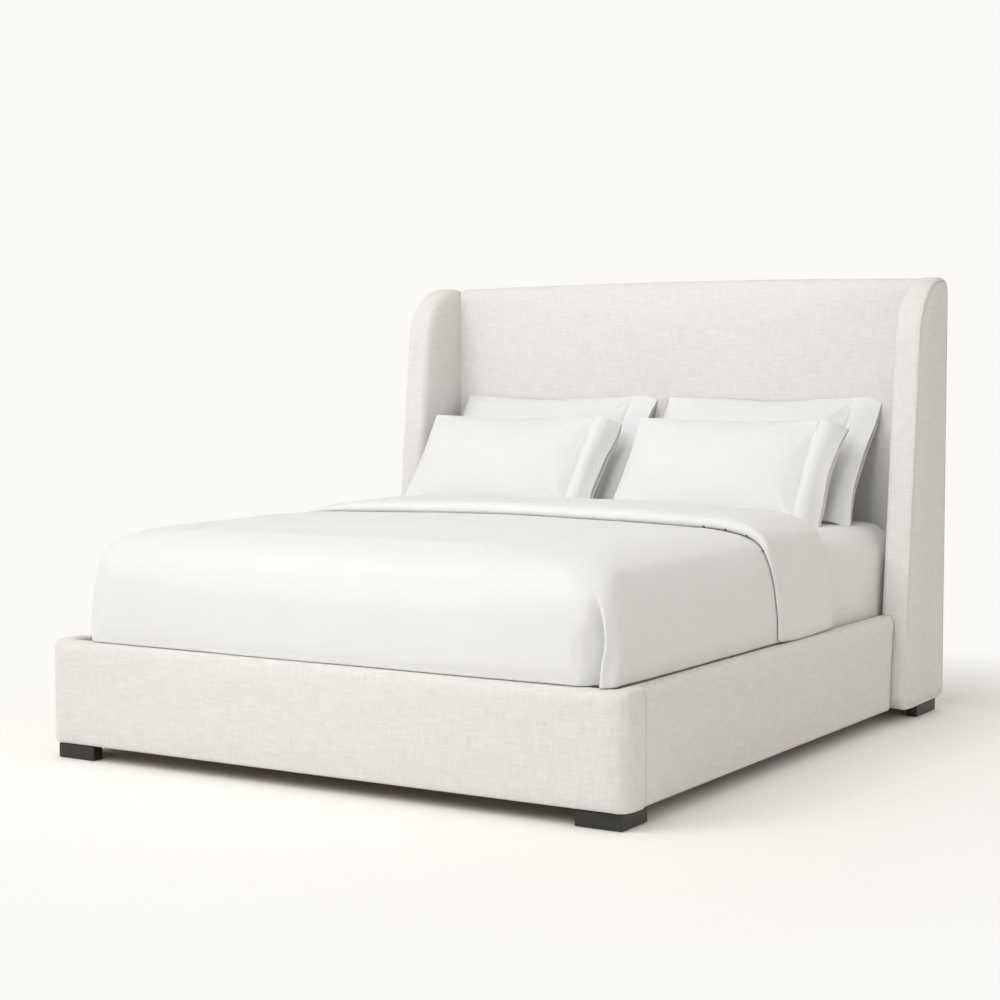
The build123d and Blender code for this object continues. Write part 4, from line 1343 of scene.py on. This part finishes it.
def repeated(name, model, line, outwards, pitch, lift):
    """Copies of a small model at even spacing along a line of points, laid flat on the cloth."""
    line = np.asarray(line, float)
    steps = np.linalg.norm(np.diff(line, axis=0), axis=1)
    along = np.concatenate([[0], np.cumsum(steps)])
    wanted = np.arange(pitch / 2, along[-1], pitch)
    spots = np.stack([np.interp(wanted, along, line[:, axis]) for axis in range(3)], 1)
    out = np.stack([np.interp(wanted, along, outwards[:, axis]) for axis in range(3)], 1)
    ahead = np.gradient(spots, axis=0)
    ahead /= np.linalg.norm(ahead, axis=1)[:, None]
    out -= ahead * (out * ahead).sum(1)[:, None]
    out /= np.linalg.norm(out, axis=1)[:, None]
    axes = np.stack([ahead, np.cross(out, ahead), out], 1)
    piece = copies(name, model, spots + out * lift, axes)
    shade_smooth(piece)
    return piece


def nearest_surface(piece, points):
    """Places and outward directions on a piece nearest to some points."""
    spots = []
    out = []
    for point in points:
        found, place, normal, _ = piece.closest_point_on_mesh(Vector(point))
        spots.append(place if found else Vector(point))
        out.append(normal if found else Vector((0, 0, 1)))
    return np.array(spots), np.array(out)


def wing_stitches(wing, model, side):
    """Topstitching on the outer panel, beside the seam of a wing's front band."""
    seam = wing_outer_roll * (1 - math.cos(wing_seam_turn))
    ring = rounded_ring(inset_corners(wing_corners(), seam + stitch_from_seam), wing_cells)
    ring = ring[ring[:, 0] < head_face - 0.06]
    breaks = np.flatnonzero(np.linalg.norm(np.diff(ring, axis=0), axis=1) > 0.05)
    ring = np.concatenate([ring[breaks[0] + 1:], ring[:breaks[0] + 1]])
    line = np.stack([np.full(len(ring), side * wing_outer), ring[:, 0], ring[:, 1]], 1)
    spots, out = nearest_surface(wing, line)
    name = ("right" if side > 0 else "left") + "_wing_topstitch"
    return repeated(name, model, spots, out, stitch_pitch, stitch_radius * 0.3)


def duvet_buttons(piece):
    """Closure buttons of the duvet cover, where its rolled free edge lifts at the right shoulder; their dark
    colour is painted shadow under the lip.
    """
    outer = duvet_lines(duvet_line_cells)[1]
    outer = outer[(outer[:, 0] > button_start) & (outer[:, 0] < button_end)]
    line = np.stack([outer[:, 0], np.full(len(outer), duvet_edge + 0.002), outer[:, 1] + 0.002], 1)
    spots, out = nearest_surface(piece, line)
    model = button_model()
    buttons = repeated("duvet_cover_buttons", model, spots, out, button_pitch, 0.0004)
    bpy.data.objects.remove(model)
    return buttons


def webbing_strap(side):
    """Webbing stapled under the slats, sagging a little between them."""
    low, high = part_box("slat_straps")
    along = 224
    y = np.linspace(low.y, high.y, along + 1)
    pitch = (high.y - low.y - slat_width) / (slat_count - 1)
    between = np.clip(((y - low.y) % pitch - slat_width) / (pitch - slat_width), 0, 1)
    sag = np.sin(math.pi * between) * strap_sag
    x = side * np.linspace(high.x - strap_width, high.x, 5)
    places = grid_places(x, y)
    flat = places.reshape(-1, 2)
    points = np.stack([flat[:, 0], flat[:, 1], np.tile(high.z - strap_gap - sag, len(x))], 1)
    names = np.arange(len(flat)).reshape(places.shape[:2])
    name = ("right" if side > 0 else "left") + "_slat_webbing"
    piece = mesh_piece(name, points, *grid_faces(names, places))
    for polygon in piece.data.polygons:
        if polygon.normal.z > 0:
            polygon.flip()
    add_thickness(piece, high.z - low.z, -1)
    points = coordinates(piece)
    points[:, 2] += high.z - strap_gap - points[:, 2].max()
    move_points(piece, points)
    face_outwards(piece)
    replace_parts(piece, "slat_straps")
    return piece, (strap_width, high.y - low.y)


def staple_row(low, high):
    """Staples round the edge of the headboard's dust cloth."""
    staple = primitive("staple_model", bpy.ops.mesh.primitive_cube_add, size=1,
                       scale=staple_size)
    bpy.ops.object.transform_apply(location=True, rotation=True, scale=True)
    bpy.ops.object.mode_set(mode="EDIT")
    bpy.ops.mesh.select_all(action="SELECT")
    bpy.ops.mesh.bevel(offset=0.0002, segments=1)
    bpy.ops.object.mode_set(mode="OBJECT")
    level = np.eye(3)
    upright = level[::-1]
    margin = 0.012
    centres = []
    axes = []
    for x in np.arange(low.x + margin, high.x - margin, staple_pitch):
        centres += [(x, high.y, high.z - margin), (x, high.y, low.z + margin)]
        axes += [level, level]
    for z in np.arange(low.z + margin * 2, high.z - margin * 2, staple_pitch):
        centres += [(low.x + margin, high.y, z), (high.x - margin, high.y, z)]
        axes += [upright, upright]
    piece = copies("dust_cloth_staples", staple, np.array(centres), axes)
    bpy.data.objects.remove(staple)
    return piece


def button_model():
    """Button: a turned disc with a raised rim."""
    button = primitive("button_model", bpy.ops.mesh.primitive_cylinder_add, vertices=24,
                       radius=button_radius, depth=button_depth)
    bpy.ops.object.mode_set(mode="EDIT")
    bpy.ops.mesh.select_all(action="DESELECT")
    bpy.ops.object.mode_set(mode="OBJECT")
    for polygon in button.data.polygons:
        polygon.select = polygon.normal.z > 0.9
    bpy.ops.object.mode_set(mode="EDIT")
    bpy.ops.mesh.inset(thickness=0.0014)
    bpy.ops.mesh.extrude_region_move(TRANSFORM_OT_translate={"value": (0, 0, -0.0008)})
    bpy.ops.mesh.select_all(action="SELECT")
    bpy.ops.mesh.bevel(offset=0.00025, segments=2)
    bpy.ops.object.mode_set(mode="OBJECT")
    return button


# Building the bed

footboard = footboard_pad()
right_rail = rail_pad()
left_rail = mirror_copy(right_rail, "left_rail_pad")
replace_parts(left_rail, "left_rail_cover", "left_rail_foam")
headboard = headboard_pad()
right_wing = wing_pad()
left_wing = mirror_copy(right_wing, "left_wing_pad")
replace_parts(left_wing, "left_wing_cover", "left_wing_foam", "left_wing_band")
# A mirrored copy carries its model's list of replaced nodes too; only those on the left are its own
for piece in (left_rail, left_wing):
    piece["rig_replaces"] = [name for name in piece["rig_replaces"] if name.startswith("left")]
mattress_piece = mattress()
sheet_piece = fitted_sheet()
duvet_main = duvet_body()
duvet_end = duvet_turned_end()
pillows = {}
for row in ("back", "front"):
    for side in ("left", "right"):
        seed = 3.0 + 4 * (row == "front") + 2 * (side == "left")
        pillows[row + "_" + side] = pillow(row, side, pillow_leans[row], pillow_lofts[row], seed)
dust_cloth, dust_size = back_cloth()
stitch = stitch_model()
stitches = [wing_stitches(right_wing, stitch, 1), wing_stitches(left_wing, stitch, -1)]
buttons = duvet_buttons(duvet_end)
bpy.data.objects.remove(stitch)
straps = [webbing_strap(1), webbing_strap(-1)]
staples = staple_row(*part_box("headboard_back_cloth"))

# Finishes for every piece

linen = upholstery()
duvet_linen = bed_linen("white_duvet_cotton", (0.744, 0.744, 0.74), (0.714, 0.713, 0.707), 0.0009)
pillow_linen = bed_linen("white_pillow_cotton", (0.735, 0.736, 0.734), (0.70, 0.70, 0.696), 0.0009)
sheet_linen = bed_linen("white_sheet_cotton", (0.76, 0.758, 0.75), (0.73, 0.728, 0.72), 0.0009)
ticking_cloth = ticking()
pine_colours = ((0.66, 0.48, 0.29), (0.42, 0.27, 0.14))
black_oak = timber("black_stained_oak", (0.022, 0.019, 0.015), (0.008, 0.007, 0.0055), 0, 1.0, 0.5, 0.06)
pine_along = timber("planed_pine_lengthwise", *pine_colours, 1)
pine_across = timber("planed_pine_crosswise", *pine_colours, 0)
pine_upright = timber("planed_pine_upright", *pine_colours, 2)
birch_across = timber("birch_slats", (0.78, 0.64, 0.45), (0.58, 0.43, 0.27), 0, 0.8)
birch_upright = timber("birch_plywood", (0.76, 0.62, 0.44), (0.56, 0.42, 0.27), 2, 0.8)
foam = foam_finish("upholstery_foam", (0.82, 0.78, 0.6), (0.6, 0.55, 0.38))
coat = powder_coat()
zinc = plated_steel()
felt = fibrous("grey_felt", (0.16, 0.15, 0.14), (0.06, 0.055, 0.05), 520.0)
nonwoven = fibrous("black_nonwoven", (0.045, 0.045, 0.048), (0.012, 0.012, 0.013), 700.0)
nylon = moulded_nylon()
webbing = fibrous("cream_webbing", (0.72, 0.70, 0.64), (0.5, 0.48, 0.42), 900.0)
# Painted shadow: the duvet's buttons are coloured dark to stand for the shadow gaps under its rolled lip
button_shadow_dark = fibrous("dark_buttons_painted_shadow", (0.20, 0.175, 0.15), (0.07, 0.06, 0.05), 160.0, 0.45)
thread = fibrous("cream_thread", (0.86, 0.83, 0.78), (0.68, 0.64, 0.58), 2500.0)


def finish_for(name):
    if name.endswith(("front_foot", "rear_foot")):
        return black_oak
    if "screws" in name or "bolts" in name:
        return zinc
    if "bracket" in name or "plates" in name or "hanger" in name:
        return coat
    if "glide" in name:
        return nylon
    if name == "floor_pads":
        return felt
    if name == "slat_straps":
        return webbing
    if name == "slats":
        return birch_across
    if name == "headboard_panel" or "wing_core" in name:
        return birch_upright
    if name in ("headboard_battens", "centre_legs"):
        return pine_upright
    if name in ("footboard_board", "footboard_corner_blocks"):
        return pine_across
    if "board" in name or "ledge" in name or "beam" in name:
        return pine_along
    return foam


def paint(piece, material):
    piece.data.materials.clear()
    piece.data.materials.append(material)


def dress(piece, material, body):
    """Finish, slot and moving body of a piece."""
    paint(piece, material)
    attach(piece, body)


for name, node in nodes.items():
    paint(node, finish_for(name))
for piece in (footboard, left_rail, right_rail, headboard, left_wing, right_wing):
    dress(piece, linen, "bed_frame")
dress(mattress_piece, ticking_cloth, "mattress")
dress(sheet_piece, sheet_linen, "mattress")
for piece in (duvet_main, duvet_end):
    dress(piece, duvet_linen, "duvet")
for name, (body, cuff) in pillows.items():
    for piece in (body, cuff):
        dress(piece, pillow_linen, name + "_pillow")
    height = 2 * pillow_half_heights[name.split("_")[0]]
dress(dust_cloth, nonwoven, "bed_frame")
for piece in stitches:
    dress(piece, thread, "bed_frame")
dress(buttons, button_shadow_dark, "duvet")
for strap, size in straps:
    dress(strap, webbing, "bed_frame")
dress(staples, zinc, "bed_frame")

# Floor, light and camera

background = (0.966, 0.953, 0.926)
floor_colour = (0.945, 0.932, 0.91)
shadow_reach = 0.15
shadow_fade = 1.3
lamp_colour = (0.955, 0.98, 1.0)
ambient_colour = (1.0, 0.953, 0.90)
ambient_strength = 0.74
key_power = 240
overhead_power = 22
headboard_power = 8
headboard_spread = math.radians(50)
camera_place = (3.3507, -5.5929, 1.1674)
camera_dip = 0.063547936
camera_turn = 0.5507157577
sensor_width = 36
lens = 72.71


def floor():
    piece = primitive("floor", bpy.ops.mesh.primitive_plane_add, size=60)
    piece.location.z = -0.0005
    bpy.ops.object.transform_apply(location=True, rotation=True, scale=True)
    finish = Finish("pale_floor", roughness=0.9)
    place = finish.place()
    x, y, _ = finish.split(place)
    beside = (x.join("ABSOLUTE") - wing_outer).highest(0.0)
    before = (y.join("ABSOLUTE") - head_face).highest(0.0)
    far = ((beside * beside + before * before) ** 0.5 - shadow_reach) / shadow_fade
    far = far.join("MINIMUM", 1.0).highest(0.0)
    speckle = finish.noise(place, 40.0, detail=3.0)
    finish.feed("Base Color", finish.blend(speckle * 0.15, floor_colour, background))
    tree = finish.tree
    glow = tree.nodes.new("ShaderNodeEmission")
    glow.inputs["Color"].default_value = (*background, 1)
    mix = tree.nodes.new("ShaderNodeMixShader")
    camera_ray = finish.add("ShaderNodeLightPath", out=0)
    glossy_ray = finish.add("ShaderNodeLightPath", out=3)
    share = far * camera_ray.highest(glossy_ray)
    tree.links.new(share.socket, mix.inputs[0])
    tree.links.new(finish.shader.outputs[0], mix.inputs[1])
    tree.links.new(glow.outputs[0], mix.inputs[2])
    tree.links.new(mix.outputs[0], tree.nodes["Material Output"].inputs[0])
    paint(piece, finish.material)


def lamp(name, place, target, size, power, spread=math.pi):
    data = bpy.data.lights.new(name, "AREA")
    data.shape = "RECTANGLE"
    data.size, data.size_y = size
    data.energy = power
    data.color = lamp_colour
    data.spread = spread
    light = bpy.data.objects.new(name, data)
    bpy.context.scene.collection.objects.link(light)
    light.location = place
    light.rotation_euler = (Vector(target) - Vector(place)).to_track_quat("-Z", "Y").to_euler()


def studio():
    world = bpy.data.worlds.new("studio")
    bpy.context.scene.world = world
    world.use_nodes = True
    tree = world.node_tree
    base = tree.nodes["Background"]
    base.inputs["Color"].default_value = (*ambient_colour, 1)
    base.inputs["Strength"].default_value = ambient_strength
    seen = tree.nodes.new("ShaderNodeBackground")
    seen.inputs["Color"].default_value = (*background, 1)
    path = tree.nodes.new("ShaderNodeLightPath")
    either = tree.nodes.new("ShaderNodeMath")
    either.operation = "MAXIMUM"
    tree.links.new(path.outputs["Is Camera Ray"], either.inputs[0])
    tree.links.new(path.outputs["Is Glossy Ray"], either.inputs[1])
    mix = tree.nodes.new("ShaderNodeMixShader")
    tree.links.new(either.outputs[0], mix.inputs[0])
    tree.links.new(base.outputs[0], mix.inputs[1])
    tree.links.new(seen.outputs[0], mix.inputs[2])
    tree.links.new(mix.outputs[0], tree.nodes["World Output"].inputs[0])
    lamp("key_softbox", (-3.6, -5.8, 6.4), (0, 0, 0.5), (4.2, 4.2), key_power)
    lamp("overhead_softbox", (-0.5, -2.4, 4.4), (0, 1.0, 0.9), (2.6, 2.6), overhead_power)
    lamp("headboard_softbox", (1.0, -5.2, 3.4), (-0.1, 1.1, 1.0), (1.6, 1.6), headboard_power,
         headboard_spread)


def camera():
    data = bpy.data.cameras.new("camera")
    data.sensor_width = sensor_width
    data.lens = lens
    view = bpy.data.objects.new("camera", data)
    bpy.context.scene.collection.objects.link(view)
    view.location = camera_place
    view.rotation_euler = (math.pi / 2 - camera_dip, 0, camera_turn)
    bpy.context.scene.camera = view


floor()
studio()
camera()
bpy.context.scene.view_settings.view_transform = "Standard"
